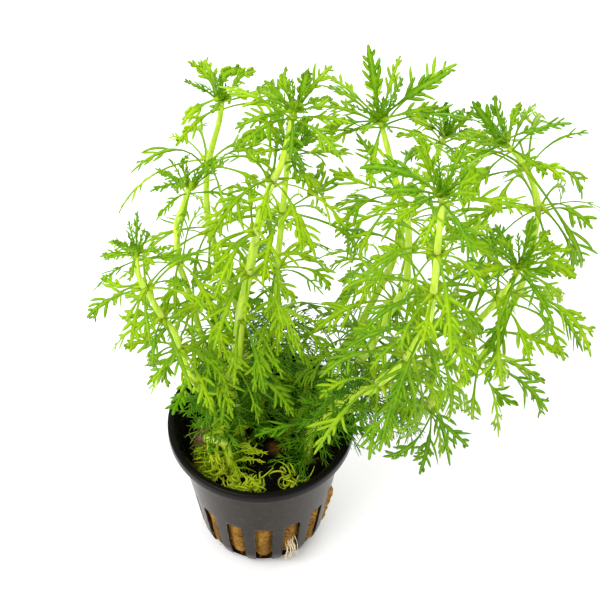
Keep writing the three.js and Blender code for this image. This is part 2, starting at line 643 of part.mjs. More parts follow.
// A whorl's frame and its places round the stem, with the aimed leaves shared out among them
function planWhorl(stem, number, age) {
  const crown = age === 0;
  const arc = whorlArc(stem, age);
  const frame = stemFrame(stem, arc);
  frame.offset = crown ? BUD_RADIUS : ringRadius(stem, arc) + RING_WALL;
  frame.lift = crown ? BUD_LIFT : 0;
  const aimed = (stem.aimed[age] ?? []).map((aim) => {
    const reach = vec(aim[0], aim[1], aim[2]).sub(frame.point);
    return { aim, turn: Math.atan2(reach.dot(frame.back), reach.dot(frame.right)) };
  });
  aimed.sort((p, q) => p.turn - q.turn);
  const scatter = radians((crown ? 36 : 20) * vary(100 * number + age));
  const usual = { places: [], phase: HALF_PLACE * age + scatter };
  const sharing = aimed.length ? bestSharing(aimed.map(({ turn }) => turn)) : usual;
  const even = Array.from({ length: LEAVES_PER_WHORL }, (_, k) => {
    const turn = sharing.phase + 2 * HALF_PLACE * k;
    const { aim, turn: own } = aimed[sharing.places.indexOf(k)] ?? { aim: null, turn };
    return { turn, own, aim };
  });
  const places = easePlaces(even, crown ? CROWN_SPACING : WHORL_SPACING);
  return { stem, number, age, arc, frame, places, name: whorlName(stem, age) };
}

function growAimedLeaves({ stem, number, age, frame, places, name }) {
  places.forEach((place, k) => {
    if (!place.aim) return;
    const twist = radians(18 * vary(1000 * number + 40 * age + 7 * k + 5));
    place.leaf = growAimedLeaf(frame, place.turn, place.aim, twist, stem.name, name);
  });
}

function growOtherLeaves({ stem, number, age, frame, places, name }) {
  places.forEach((place, k) => {
    if (place.leaf) return;
    place.leaf = growLeaf(frame, leafPlan(stem, number, k, age, place.turn), stem.name, name);
  });
}

// A corner of a whorl's ring, at a radius, turn and height about the stem
function ringCorner(frame, radius, turn, lift) {
  return along(frame.point, frame.right, radius * Math.cos(turn))
    .addScaledVector(frame.back, radius * Math.sin(turn)).addScaledVector(frame.axis, lift);
}

// A whorl: a ring round the stem with one leaf from the middle of each of its sides
function whorlGeometry({ frame, arc, stem, places }) {
  const inner = ringRadius(stem, arc);
  const outer = inner + RING_WALL;
  const corners = [];
  const triangles = [];
  for (const { turn } of places) {
    const start = turn - HALF_PLACE;
    corners.push(ringCorner(frame, inner, start, RING_HALF_HEIGHT));
    corners.push(ringCorner(frame, inner, start, -RING_HALF_HEIGHT));
    corners.push(ringCorner(frame, outer, start, RING_SHOULDER));
    corners.push(ringCorner(frame, outer, turn, -RING_HALF_HEIGHT));
  }
  places.forEach(({ leaf }, k) => {
    const [topA, lowA, outA, keel] = [4 * k, 4 * k + 1, 4 * k + 2, 4 * k + 3];
    const next = 4 * ((k + 1) % LEAVES_PER_WHORL);
    const [topB, lowB, outB] = [next, next + 1, next + 2];
    triangles.push([topA, outA, outB], [topA, outB, topB], [topA, topB, lowB], [topA, lowB, lowA]);
    triangles.push([lowA, lowB, keel], [lowA, keel, outA], [lowB, outB, keel]);
    if (leaf) stitchLeaf(corners, triangles, leaf, { right: outA, left: outB, keel });
    else triangles.push([outB, outA, keel]);
  });
  return meshGeometry(corners, triangles);
}

// The crown: the stem's growing tip, a small bud that the youngest leaves rise from
function crownGeometry({ frame, places }) {
  const corners = [ringCorner(frame, 0, 0, BUD_HEIGHT), ringCorner(frame, 0, 0, GAP)];
  const triangles = [];
  for (const { turn } of places) {
    corners.push(ringCorner(frame, BUD_RADIUS, turn - HALF_PLACE, BUD_LIFT + RING_SHOULDER));
    corners.push(ringCorner(frame, BUD_RADIUS, turn, BUD_LIFT / 2));
  }
  places.forEach(({ leaf }, k) => {
    const [outA, keel] = [2 + 2 * k, 3 + 2 * k];
    const outB = 2 + 2 * ((k + 1) % LEAVES_PER_WHORL);
    triangles.push([0, outA, outB], [1, keel, outA], [1, outB, keel]);
    if (leaf) stitchLeaf(corners, triangles, leaf, { right: outA, left: outB, keel });
    else triangles.push([outB, outA, keel]);
  });
  return meshGeometry(corners, triangles);
}

// The small old leaves low on a stem, grown together with it
function lowLeaves(stem, number, arc, place) {
  const frame = stemFrame(stem, arc);
  frame.offset = LOW_LEAF_FOOT;
  frame.lift = 0;
  const solids = [];
  for (let k = 0; k < LOW_LEAF_COUNT; k += 1) {
    const seed = 3000 + 90 * number + 30 * place + 5 * k;
    const plan = {
      turn: (2 * Math.PI * k) / LOW_LEAF_COUNT + radians(40 * vary(seed)),
      length: stem.leaf * LOW_LEAF_SHARE * (1 + LOW_LENGTH_SCATTER * vary(seed + 1)),
      tilt: radians(62 + 16 * vary(seed + 2)),
      arch: radians(20),
      droop: LOW_LEAF_DROOP,
      twist: radians(25 * vary(seed + 3)),
      rich: false,
    };
    const leaf = growLeaf(frame, plan, stem.name, `${stem.name}_low_${place}`);
    if (!leaf) continue;
    const top = leaf.ways[0].clone().cross(leaf.across).normalize();
    const root = along(leaf.ribs[0], top, LEAF_CREST);
    const corners = [along(root, leaf.across, -LEAF_HALF_WIDTH), along(root, leaf.across, LEAF_HALF_WIDTH),
      along(root, top, -LEAF_KEEL)];
    const triangles = [[0, 1, 2]];
    stitchLeaf(corners, triangles, leaf, { right: 0, left: 1, keel: 2 });
    solids.push(toSolid(meshGeometry(corners, triangles)));
  }
  return solids;
}

// The plug of rock wool, with a snug hole for each stem's foot
function rockWoolGeometry() {
  const clear = POT_WALL + WOOL_GAP;
  const edge = WOOL_TOP - WOOL_EDGE_DROP;
  const floor = POT_FLOOR + WOOL_GAP;
  const profile = [
    [0, floor], [POT_BASE_RADIUS - WOOL_FOOT_INSET, floor],
    [POT_HEEL_RADIUS - clear, POT_HEEL_HEIGHT + WOOL_HEEL_LIFT], [bodyRadius(edge) - clear, edge],
    [bodyRadius(edge) - clear - WOOL_EDGE_ROUND, WOOL_TOP], [0, WOOL_TOP],
  ];
  let wool = turned(profile, WOOL_SIDES);
  for (const stem of STEMS) {
    const sections = stemSections(stem).slice(0, 2);
    wool = wool.subtract(toSolid(stemTube(stem, sections, GAP / Math.cos(Math.PI / STEM_SIDES), GAP)));
  }
  return toGeometry(wool);
}

const material = (color, roughness) => new THREE.MeshStandardMaterial({ color, roughness, metalness: 0 });
const plastic = material(0x26252a, 0.3);
const wool = material(0xa2673a, 0.95);
const stemGreen = material(0xb4d62f, 0.45);
const leafGreen = material(0x6fa81a, 0.5);

const group = new THREE.Group();

function addMesh(name, geometry, finish) {
  const mesh = new THREE.Mesh(geometry, finish);
  mesh.name = name;
  group.add(mesh);
}

for (const stem of STEMS) {
  stem.path = smoothRoute(stem.route);
  const sections = stemSections(stem);
  for (let i = 1; i < sections.length; i += 1) {
    const from = pointAt(stem.path, sections[i - 1]);
    const to = pointAt(stem.path, sections[i]);
    standing.push({ ...makePiece(from, to, stem.radius), owner: stem.name, foot: false });
  }
}

addMesh("net_pot", netPotGeometry(), plastic);
addMesh("rock_wool", rockWoolGeometry(), wool);

for (const stem of STEMS.filter(({ crown }) => crown)) {
  for (let age = 0; age <= stem.whorls.length; age += 1) reserveWhorl(stem, age);
}

// Aimed leaves grow first, then the others from the crowns down, and the low leaves last
const mostWhorls = Math.max(...STEMS.map((stem) => stem.whorls.length));
const whorls = [];
for (let age = 0; age <= mostWhorls; age += 1) {
  STEMS.forEach((stem, number) => {
    if (stem.crown && age <= stem.whorls.length) whorls.push(planWhorl(stem, number, age));
  });
}
whorls.forEach(growAimedLeaves);
whorls.forEach(growOtherLeaves);
for (const whorl of whorls) {
  if (whorl.age === 0) addMesh(`crown_${whorl.stem.name}`, crownGeometry(whorl), leafGreen);
  else addMesh(`whorl_${whorl.name}`, whorlGeometry(whorl), leafGreen);
}
STEMS.forEach((stem, number) => {
  let solid = toSolid(stemTube(stem, stemSections(stem), 0, 0));
  stem.low.forEach((arc, place) => {
    for (const leaf of lowLeaves(stem, number, arc, place)) solid = solid.add(leaf);
  });
  addMesh(`stem_${stem.name}`, toGeometry(solid), stemGreen);
});

export default group;
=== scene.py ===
import itertools
import math
import random
import bpy
import numpy as np
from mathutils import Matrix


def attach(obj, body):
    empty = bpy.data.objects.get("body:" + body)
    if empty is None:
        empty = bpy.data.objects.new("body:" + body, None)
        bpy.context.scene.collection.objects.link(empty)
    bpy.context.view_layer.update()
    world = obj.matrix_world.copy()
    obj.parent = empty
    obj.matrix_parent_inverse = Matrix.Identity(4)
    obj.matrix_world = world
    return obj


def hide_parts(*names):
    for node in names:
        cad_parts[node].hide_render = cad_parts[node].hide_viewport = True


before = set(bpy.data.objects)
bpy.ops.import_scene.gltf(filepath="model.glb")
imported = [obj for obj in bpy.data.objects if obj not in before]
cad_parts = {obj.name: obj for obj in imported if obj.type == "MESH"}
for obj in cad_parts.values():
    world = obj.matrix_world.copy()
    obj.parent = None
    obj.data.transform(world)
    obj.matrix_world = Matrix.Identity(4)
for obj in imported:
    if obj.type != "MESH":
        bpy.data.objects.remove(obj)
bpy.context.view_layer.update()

# Everything below is in millimetres, with +Z up, until a mesh is made
MM = 0.001

# Net pot
POT_HEIGHT = 50.0
POT_RIM_RADIUS = 27.5
POT_RIM_WIDTH = 1.8
POT_LIP_HEIGHT = 3.4
POT_NECK_RADIUS = 24.8
POT_HEEL_RADIUS = 19.2
POT_HEEL_HEIGHT = 6.0
POT_BEVEL_RADIUS = 17.8
POT_BEVEL_HEIGHT = 1.8
POT_BASE_RADIUS = 14.0
POT_WALL = 1.0
POT_FLOOR = 1.2
POT_THROAT_DROP = 0.6
SLOT_COUNT = 15
SLOT_PITCH = 360 / SLOT_COUNT
SLOT_WIDTH = 4.9
SLOT_TOP = 24.0
SLOT_BOTTOM = 1.4
SLOT_INNER_RADIUS = 14.6
SLOT_FIRST_TURN = -88.4

# Rock wool
WOOL_TOP = 38.0
WOOL_EDGE_DROP = 2.0
WOOL_GAP = 0.4

# Stems and the rings of their whorls
GAP = 0.3
STEM_TIP_RADIUS = 0.8
STEM_TAPER_FROM = 0.3
STEM_SECTION_LENGTH = 14.0
CURVE_STEPS = 8
AXIS_REACH = 2.0
RING_HALF_HEIGHT = 0.7
RING_WALL = 0.9
BUD_RADIUS = 2.2
BUD_LIFT = 1.2

# Leaves
LEAVES_PER_WHORL = 5
LEAF_STEPS = 20
LEAF_RADIUS = 1.0
LEAF_FOOT_RADIUS = 1.7
LEAF_FOOT_SHARE = 0.3
LOBE_SPREAD = math.radians(50)
LOBES_PLAIN = [(10, 12, 0.3)]
LOBES_RICH = [(9, 11, 0.3), (14, 16, 0.22)]
RICH_LENGTH = 20.0
GROUND_CLEARANCE = 3.0
LOW_LEAF_COUNT = 3
LOW_LEAF_SHARE = 0.72
LOW_LEAF_FOOT = 0.5
LOW_LEAF_DROOP = 0.35
LOW_LENGTH_SCATTER = 0.15
ARCH_LIFT = 0.7
LENGTH_SCATTER = 0.12
CROWN_DROOP = 0.1
FIRST_DROOP = 0.9
DROOP_BY_AGE = 0.15
MOST_DROOP = 1.5
DROOP_SCATTER = 0.3

# Each stem as in the part's source: radius, whorls and low leaves by arc length, leaf and crown lengths,
# route, and the leaves of each whorl (0 is the crown) that reach a place of their own, with their rise
STEMS = [
    dict(name="a", radius=1.7, whorls=[46, 67, 85, 101, 120], low=[28], leaf=24, crown=14,
         route=[(-6, -2, 28), (-6, -1, 38), (-7, 1, 48), (-9, 3, 68), (-7, 3, 72), (-5, 4, 94),
         (-3, 5, 106), (-1, 5, 120), (1, 6, 132), (4, 7, 143), (7, 8, 151), (10, 9, 168)],
         aimed={
         0: [(8, 16, 176, -1), (13, 15, 175, 0), (18, 11, 170, 2), (2, 12, 172, 3), (-5, 7, 164, 3)],
         1: [(-2, 12, 151, 4), (17, 6, 142, 4)], 2: [(-2, 13, 137, 0), (-11, 2, 118, 4)],
         3: [(16, 7, 113, 5)]}),
    dict(name="b", radius=1.2, whorls=[60, 84, 108], low=[38], leaf=28, crown=14,
         route=[(-5, 9, 28), (-5, 9, 38), (-4, 11, 60), (-5, 14, 75), (-7, 17, 84), (-10, 19, 93),
         (-13, 21, 107), (-14, 22, 115), (-14, 24, 127), (-13, 25, 134), (-12, 25, 139), (-10, 26, 147),
         (-9, 27, 154)],
         aimed={
         0: [(0, 32, 160, 0), (-6, 32, 160, 0), (-18, 33, 162, -2), (-20, 24, 148, 2), (2, 29, 156, 1)],
         1: [(-38, 18, 120, 4), (0, 22, 126, 6), (-22, 21, 125, 4), (4, 24, 131, 3)],
         2: [(-33, 17, 101, 3), (-27, 17, 101, 4), (-14, 15, 95, 4)]}),
    dict(name="c", radius=1.1, whorls=[46, 64, 82], low=[30], leaf=21, crown=11,
         route=[(-11, 4, 28), (-11, 4, 40), (-11, 6, 56), (-16, 8, 75), (-18, 9, 87), (-20, 10, 99),
         (-22, 11, 108), (-22, 12, 116), (-22, 13, 121), (-20, 13, 128), (-18, 14, 135)],
         aimed={0: [(-28, 9, 138, 1), (-23, 16, 137, 0), (-22, 7, 120, 2), (-18, 18, 141, 0)],
         1: [(-30, 9, 103, 4), (-31, 4, 96, 4)], 2: [(-29, 4, 80, 4), (-28, 6, 90, 2)],
         3: [(-27, 2, 63, 5), (-22, 1, 58, 4)]}),
    dict(name="d", radius=1.0, whorls=[64, 79, 94], low=[48], leaf=19, crown=10,
         route=[(-13, -3, 28), (-13, -3, 40), (-13, -3, 56), (-19, -4, 75), (-22, -5, 91), (-23, -5, 97),
         (-26, -6, 105), (-28, -7, 113), (-30, -8, 120), (-31, -9, 127), (-31, -9, 134)],
         aimed={
         0: [(-38, -10, 133, 0), (-35, -9, 138, 0), (-29, -8, 141, 0), (-24, -9, 136, 0),
             (-32, -13, 131, 0)], 1: [(-41, -6, 122, -2), (-45, -12, 111, 2), (-35, -12, 110, 2)],
         2: [(-30, -6, 105, 1), (-30, -8, 99, 1)], 3: [(-37, -5, 91, 1), (-30, -7, 85, 3)]}),
    dict(name="e", radius=1.3, whorls=[50, 70, 92], low=[38], leaf=24, crown=12,
         route=[(8, 10, 28), (8, 10, 38), (13, 9, 49), (15, 11, 54), (20, 14, 57), (23, 16, 61),
         (28, 19, 68), (32, 22, 76), (35, 24, 83), (38, 26, 90), (40, 28, 100), (44, 30, 112),
         (48, 32, 124), (51, 34, 134)],
         aimed={0: [(41, 37, 138, 1), (45, 38, 139, 0), (51, 38, 139, 0), (57, 37, 138, 0)]}),
    dict(name="f", radius=1.4, whorls=[59, 76, 93, 111, 129], low=[28], leaf=25, crown=16,
         route=[(14, -6, 28), (14, -6, 40), (15, -5, 51), (21, -6, 64), (25, -7, 69), (28, -8, 74),
         (32, -8, 75), (34, -9, 80), (38, -11, 88), (41, -12, 95), (43, -14, 104), (45, -15, 111),
         (46, -16, 122), (46, -18, 134), (46, -19, 147), (46, -20, 159), (46, -20, 168)],
         aimed={0: [(40, -11, 180, 0), (32, -20, 169, 3), (57, -16, 172, 2), (26, -12, 169, 3)],
         1: [(27, -23, 138, 5), (60, -20, 144, 4)], 2: [(38, -24, 112, 4)], 3: [(52, -26, 84, 4)],
         4: [(40, -14, 59, 5)], 5: [(50, -13, 70, 5), (35, -14, 58, 4)]}),
    dict(name="g", radius=1.35, whorls=[57, 79, 107, 137, 152], low=[30], leaf=25, crown=15,
         route=[(12, -1, 28), (12, -1, 38), (14, 0, 45), (18, 0, 51), (28, 0, 56), (37, -1, 57),
         (44, -2, 57), (48, -1, 58), (54, 0, 63), (59, 1, 68), (65, 3, 80), (68, 4, 89), (71, 6, 97),
         (73, 7, 105), (74, 8, 112), (75, 10, 124), (75, 11, 131), (73, 12, 138), (70, 13, 145),
         (65, 14, 151)],
         aimed={0: [(56, 21, 160, 0), (68, 20, 159, 0), (76, 17, 154, 1), (58, 12, 147, 1)],
         1: [(86, 9, 135, 5), (88, 1, 117, 11), (52, 9, 135, 4)],
         2: [(85, 9, 125, 3), (86, 1, 110, 6), (79, 5, 118, 2)],
         4: [(82, -1, 68, 2), (74, -3, 62, -6), (61, -5, 57, 3), (80, -3, 62, 2)],
         5: [(47, -10, 36, 1), (57, -9, 38, 4), (36, -8, 42, 4), (60, -8, 48, 3)]}),
    dict(name="h", radius=1.25, whorls=[60, 82, 103], low=[27], leaf=24, crown=14,
         route=[(14, 6, 28), (14, 6, 40), (19, 5, 50), (26, 5, 55), (33, 5, 60), (40, 5, 65), (46, 4, 70),
         (51, 3, 76), (56, 2, 83), (59, 0, 92), (63, -2, 103), (66, -4, 112), (68, -6, 120), (69, -8, 128)],
         aimed={0: [(83, -5, 131, 1), (83, -10, 125, 3), (63, -4, 134, 1), (81, -12, 119, 4)],
         1: [(91, -11, 93, 6), (76, -9, 99, 9), (67, -15, 84, 5)],
         2: [(86, -3, 82, 4), (58, -5, 78, 4), (53, -4, 80, 4)]}),
    dict(name="j", radius=1.3, whorls=[55, 75, 95, 117], low=[40], leaf=24, crown=19,
         route=[(7, 3, 28), (8, 3, 40), (12, 4, 48), (17, 4, 55), (25, 4, 66), (31, 6, 75), (34, 7, 84),
         (38, 8, 93), (41, 9, 101), (41, 10, 109), (41, 11, 118), (40, 12, 127), (38, 12, 134),
         (36, 13, 142), (34, 14, 151), (32, 14, 160)],
         aimed={
         0: [(29, 26, 175, 0), (50, 21, 169, 1), (47, 16, 163, 2), (17, 19, 167, 2), (19, 13, 159, 3)],
         1: [(19, 16, 139, 1), (28, 4, 116, 6), (52, 7, 124, 4), (26, 20, 149, 0)]}),
    dict(name="k", radius=1.15, whorls=[57, 77, 99], low=[28], leaf=22, crown=12,
         route=[(0, 4, 28), (0, 5, 38), (0, 7, 50), (1, 9, 60), (3, 11, 74), (5, 12, 85), (5, 13, 102),
         (6, 13, 115), (7, 14, 128), (8, 15, 140), (9, 15, 148)],
         aimed={0: [(-6, 15, 148, 4), (16, 12, 142, 5), (21, 18, 152, 2), (14, 21, 155, 0)],
         1: [(24, 20, 134, 0), (26, 8, 112, 9), (-7, 12, 123, 3)], 2: [(20, 10, 97, 4)]}),
    dict(name="old", radius=1.3, whorls=[], low=[27], leaf=20, crown=0,
         route=[(-9, -11, 28), (-9, -11, 38), (-9, -12, 45), (-10, -10, 51), (-14, -9, 53), (-18, -9, 53)],
         aimed={}),
]


def vary(n):
    """A repeatable scatter from -1 to 1 for each whole number."""
    return ((n * n * 31 + n * 9301 + 49297) % 233280) / 116640 - 1


def unit(v):
    return v / np.linalg.norm(v)


# Routes of the stems

def smooth_route(route):
    """Even short chords along a smooth path through the route's points, with their arc lengths."""
    points = np.array(route, float)
    last = len(points) - 1
    chords = [points[0]]
    for i in range(last):
        p0, p1, p2, p3 = points[max(i - 1, 0)], points[i], points[i + 1], points[min(i + 2, last)]
        for step in range(1, CURVE_STEPS + 1):
            u = step / CURVE_STEPS
            chords.append(0.5 * (2 * p1 + (p2 - p0) * u + (2 * p0 - 5 * p1 + 4 * p2 - p3) * u * u
                                 + (3 * p1 - p0 - 3 * p2 + p3) * u ** 3))
    chords = np.array(chords)
    arcs = np.concatenate([[0], np.cumsum(np.linalg.norm(np.diff(chords, axis=0), axis=1))])
    return chords, arcs


def point_at(stem, arc):
    chords, arcs = stem["path"]
    return np.array([np.interp(arc, arcs, chords[:, axis]) for axis in range(3)])


def stem_frame(stem, arc):
    """Point, direction and two cross directions of a stem at an arc length."""
    ahead = point_at(stem, min(arc + AXIS_REACH, stem["length"]))
    axis = unit(ahead - point_at(stem, max(arc - AXIS_REACH, 0)))
    back = unit(np.array([0, 1, 0]) - axis * axis[1])
    return dict(point=point_at(stem, arc), axis=axis, back=back, right=np.cross(back, axis))


def leaf_place(stem, arc, offset, lift=0):
    """Where leaves stand round a stem: its frame there, and how far out and up their feet are."""
    return dict(stem_frame(stem, arc), offset=offset, lift=lift)


def stem_radius(stem, arc):
    share = arc / stem["length"]
    taper = max(share - STEM_TAPER_FROM, 0) / (1 - STEM_TAPER_FROM) if stem["crown"] else 0
    return stem["radius"] + (STEM_TIP_RADIUS - stem["radius"]) * taper


def stem_sections(stem):
    marks = sorted([0, *stem["low"], *stem["whorls"], stem["length"]])
    sections = [0]
    for before, after in zip(marks, marks[1:]):
        parts = max(int(math.floor((after - before) / STEM_SECTION_LENGTH + 0.5)), 1)
        sections += [before + (after - before) * part / parts for part in range(1, parts + 1)]
    return sections


# Room for the leaves: what stands already, as straight pieces with a radius

class Standing:
    """The straight pieces of the stems and leaves that stand already."""

    def __init__(self):
        self.count = 0
        self.start = np.zeros((20000, 3))
        self.way = np.zeros((20000, 3))
        self.radius = np.zeros(20000)
        self.owner = np.empty(20000, dtype=object)
        self.foot = np.zeros(20000, bool)

    def add(self, start, end, radius, owner, foot=False):
        i = self.count
        self.start[i] = start
        self.way[i] = end - start
        self.radius[i] = radius
        self.owner[i] = owner
        self.foot[i] = foot
        self.count += 1

    def near(self, centre, reach, own_stem, own_whorl):
        """What stands within reach of a place, without what the leaf's foot and the leaf itself may touch."""
        n = self.count
        middle = self.start[:n] + self.way[:n] / 2
        size = np.linalg.norm(self.way[:n], axis=1) / 2 + self.radius[:n] + GAP
        close = np.nonzero(np.linalg.norm(middle - centre, axis=1) < reach + size)[0]
        own = self.owner[close] == own_whorl
        apart = ~(own | (self.owner[close] == own_stem))
        other = ~(own & self.foot[close])
        return [self.rows(close[apart]), self.rows(close[other])]

    def rows(self, chosen):
        way = self.way[chosen]
        return self.start[chosen], way, np.einsum("ij,ij->i", way, way), self.radius[chosen] + GAP


def blocked(start, end, radius, around):
    """True where a piece comes nearer than the gap to any that stands around it."""
    other, v, c, size = around
    u = end - start
    w = start - other
    a = u @ u
    b = v @ u
    d = w @ u
    e = np.einsum("ij,ij->i", v, w)
    det = a * c - b * b
    s = np.where(det > 1e-9, np.clip((b * e - c * d) / np.where(det > 1e-9, det, 1), 0, 1), 0)
    t = np.clip((b * s + e) / c, 0, 1)
    s = np.clip((b * t - d) / a, 0, 1)
    away = w + u * s[:, None] - v * t[:, None]
    return bool(np.any(np.einsum("ij,ij->i", away, away) < (radius + size) ** 2))


standing = Standing()


def hits_pot(point, room):
    """True where a point of a leaf would touch the pot, the wool or the ground."""
    radius = math.hypot(point[0], point[1])
    if point[2] < GROUND_CLEARANCE:
        return True
    if point[2] > POT_HEIGHT + room or radius > POT_RIM_RADIUS + room:
        return False
    if radius > POT_NECK_RADIUS - POT_WALL - room:
        return True
    return point[2] < WOOL_TOP + room


def with_lobes(ribs, out, across, twist, rich, length):
    """Adds the main lobes to a midrib of even steps that starts outward from its stem."""
    ways = np.diff(ribs, axis=0)
    ways /= np.linalg.norm(ways, axis=1)[:, None]
    lobes = []
    for start, end, share in LOBES_RICH if rich else LOBES_PLAIN:
        middle = (start + end) // 2
        way = ways[middle]
        side = across * math.cos(twist) + unit(np.cross(way, across)) * math.sin(twist)
        ahead = way * share * length * math.cos(LOBE_SPREAD)
        aside = side * share * length * math.sin(LOBE_SPREAD)
        lobes.append(dict(start=start, end=end, middle=middle,
                          tips=[ribs[middle] + ahead + sign * aside for sign in (1, -1)]))
    return dict(ribs=ribs, out=out, across=across, lobes=lobes, twist=twist, length=length)


def leaf_foot(place, turn):
    out = place["right"] * math.cos(turn) + place["back"] * math.sin(turn)
    across = place["back"] * math.cos(turn) - place["right"] * math.sin(turn)
    return out, across, place["point"] + out * place["offset"] + place["axis"] * place["lift"]


def leaf_shape(place, turn, length, tilt, arch, droop=0.0, twist=0.0, rich=False):
    """A leaf that bends over from its tilt and droops towards its tip."""
    out, across, foot = leaf_foot(place, turn)
    share = (np.arange(LEAF_STEPS) + 0.5) / LEAF_STEPS
    angle = (tilt + arch * share)[:, None]
    ways = place["axis"] * np.cos(angle) + out * np.sin(angle)
    ways[:, 2] -= droop * share
    ways *= length / LEAF_STEPS / np.linalg.norm(ways, axis=1)[:, None]
    ribs = foot + np.concatenate([np.zeros((1, 3)), np.cumsum(ways, axis=0)])
    return with_lobes(ribs, out, across, twist, rich, length)


def aimed_shape(place, turn, tip, rise, twist):
    """A leaf that reaches its own place in one arch, up and away from its stem."""
    out, across, foot = leaf_foot(place, turn)
    length = np.linalg.norm(tip - foot)
    chord = (tip - foot) / length
    bulge = out + np.array([0, 0, ARCH_LIFT])
    bulge = unit(bulge - chord * (bulge @ chord))
    across = unit(across - chord * (across @ chord))
    bend = (foot + tip) / 2 + bulge * 2 * rise
    u = np.linspace(0, 1, LEAF_STEPS + 1)[:, None]
    ribs = foot * (1 - u) ** 2 + bend * 2 * u * (1 - u) + tip * u * u
    return with_lobes(ribs, out, across, twist, length > RICH_LENGTH, length)


def leaf_pieces(leaf, radius, foot_radius):
    """A leaf as straight pieces: its broad foot first, then the rest of the midrib and the lobes."""
    ribs = leaf["ribs"]
    stops = [s for lobe in leaf["lobes"] for s in (lobe["start"], lobe["end"])] + [LEAF_STEPS]
    foot = ribs[0] + (ribs[stops[0]] - ribs[0]) * LEAF_FOOT_SHARE
    pieces = [(ribs[0], foot, foot_radius), (foot, ribs[stops[0]], radius)]
    pieces += [(ribs[p], ribs[q], radius) for p, q in zip(stops, stops[1:])]
    pieces += [(ribs[lobe["middle"]], tip, radius) for lobe in leaf["lobes"] for tip in lobe["tips"]]
    return pieces


def keep_if_free(leaf, around, own_whorl, radius=LEAF_RADIUS, foot_radius=LEAF_FOOT_RADIUS):
    """The leaf, which then keeps its place, or None where it would touch anything but its own foot."""
    stalk = leaf["ribs"][leaf["lobes"][0]["start"]] - leaf["ribs"][0]
    if stalk @ leaf["out"] <= LEAST_OUTWARD * np.linalg.norm(stalk):
        return None
    tips = [tip for lobe in leaf["lobes"] for tip in lobe["tips"]]
    points = np.array([*leaf["ribs"][2:], *tips])
    if points[:, 2].min() < POT_HEIGHT + 2 and any(hits_pot(point, radius + GAP) for point in points):
        return None
    pieces = leaf_pieces(leaf, radius, foot_radius)
    for i, (start, end, thick) in enumerate(pieces):
        if blocked(start, end, thick, around[0 if i == 0 else 1]):
            return None
    for i, (start, end, thick) in enumerate(pieces):
        standing.add(start, end, thick, own_whorl, i == 0)
    return leaf


SHRINKS = (1, 0.88, 0.75, 0.62, 0.5)
TILT_CHANGES = (0, -12, 12, -24, 24, 36)
TURN_CHANGES = (0, 12, -12, 24, -24)
AIMED_SHRINKS = (1, 0.93, 0.86)
RISE_CHANGES = (0, 2, -2)
BACK_SHIFTS = (0, 3, -3, 6, -6, 9, -9)
BACK_AND_DOWN = np.array([0, 0.64, -0.77])
MOST_SHIFT = 0.4
LEAST_OUTWARD = 0.3
SHORTEST_LEAF = 7
LONGEST_LEAF = 45
REACH_MARGIN = 5
EASES = (1, 0.8, 0.6, 0.4, 0.2)
CROWN_SPACING = (40, 125)
WHORL_SPACING = (52, 92)


def grow_leaf(place, plan, own_stem, own_whorl, **sizes):
    """One leaf where it is free, bent, turned or shortened as real leaves are in a crowd."""
    around = standing.near(place["point"], 1.1 * plan["length"] + REACH_MARGIN, own_stem, own_whorl)
    for shrink, tilt_change, turn_change in itertools.product(SHRINKS, TILT_CHANGES, TURN_CHANGES):
        changed = dict(plan, turn=plan["turn"] + math.radians(turn_change), length=plan["length"] * shrink,
                       tilt=plan["tilt"] + math.radians(tilt_change))
        shape = leaf_shape(place, **changed)
        if keep_if_free(shape, around, own_whorl, **sizes):
            return shape
    return None


def grow_aimed_leaf(place, turn, aim, twist, own_stem, own_whorl):
    """A leaf towards its own place, which gives way to those before and behind it."""
    foot = leaf_foot(place, turn)[2]
    reach = np.array(aim[:3]) - place["point"]
    shifts = [shift for shift in BACK_SHIFTS if abs(shift) < MOST_SHIFT * np.linalg.norm(reach)]
    around = standing.near(place["point"], 1.6 * LONGEST_LEAF, own_stem, own_whorl)
    for shrink, rise_change, shift in itertools.product(AIMED_SHRINKS, RISE_CHANGES, shifts):
        way = place["point"] + reach * shrink + BACK_AND_DOWN * shift - foot
        length = np.linalg.norm(way)
        tip = foot + way / length * min(max(length, SHORTEST_LEAF), LONGEST_LEAF)
        shape = aimed_shape(place, turn, tip, aim[3] + rise_change, twist)
        if keep_if_free(shape, around, own_whorl):
            return shape
    return None


def leaf_plan(stem, number, leaf_number, age, turn):
    """How a leaf of a whorl stands: upright in the crown, spreading and then drooping lower down."""
    seed = 1000 * number + 40 * age + 7 * leaf_number + 11
    crown = age == 0
    spread = 42 if crown else min(60 + 5 * age, 80)
    droop = min(FIRST_DROOP + DROOP_BY_AGE * age, MOST_DROOP) * (1 + DROOP_SCATTER * vary(seed + 3))
    return dict(turn=turn + math.radians(9 * vary(seed)),
                length=(stem["crown"] if crown else stem["leaf"]) * (1 + LENGTH_SCATTER * vary(seed + 1)),
                tilt=math.radians(spread + 14 * vary(seed + 2)),
                arch=math.radians(20 if crown else 38),
                droop=CROWN_DROOP if crown else droop,
                twist=math.radians(22 * vary(seed + 4)),
                rich=leaf_number == 0)


def scattered_plan(seed, turn, length, tilt, arch, droop, twist):
    """How a small leaf stands. Each pair is a value and its scatter, and angles are in degrees."""
    return dict(turn=turn[0] + math.radians(turn[1] * vary(seed)),
                length=length[0] * (length[1] + length[2] * vary(seed + 1)),
                tilt=math.radians(tilt[0] + tilt[1] * vary(seed + 2)), arch=math.radians(arch),
                droop=droop[0] + droop[1] * vary(seed + 4), twist=math.radians(twist * vary(seed + 3)),
                rich=False)


def ring_radius(stem, arc):
    return (stem_radius(stem, arc) + GAP) / math.cos(math.pi / LEAVES_PER_WHORL)


def whorl_arc(stem, age):
    return stem["length"] if age == 0 else stem["whorls"][-age]


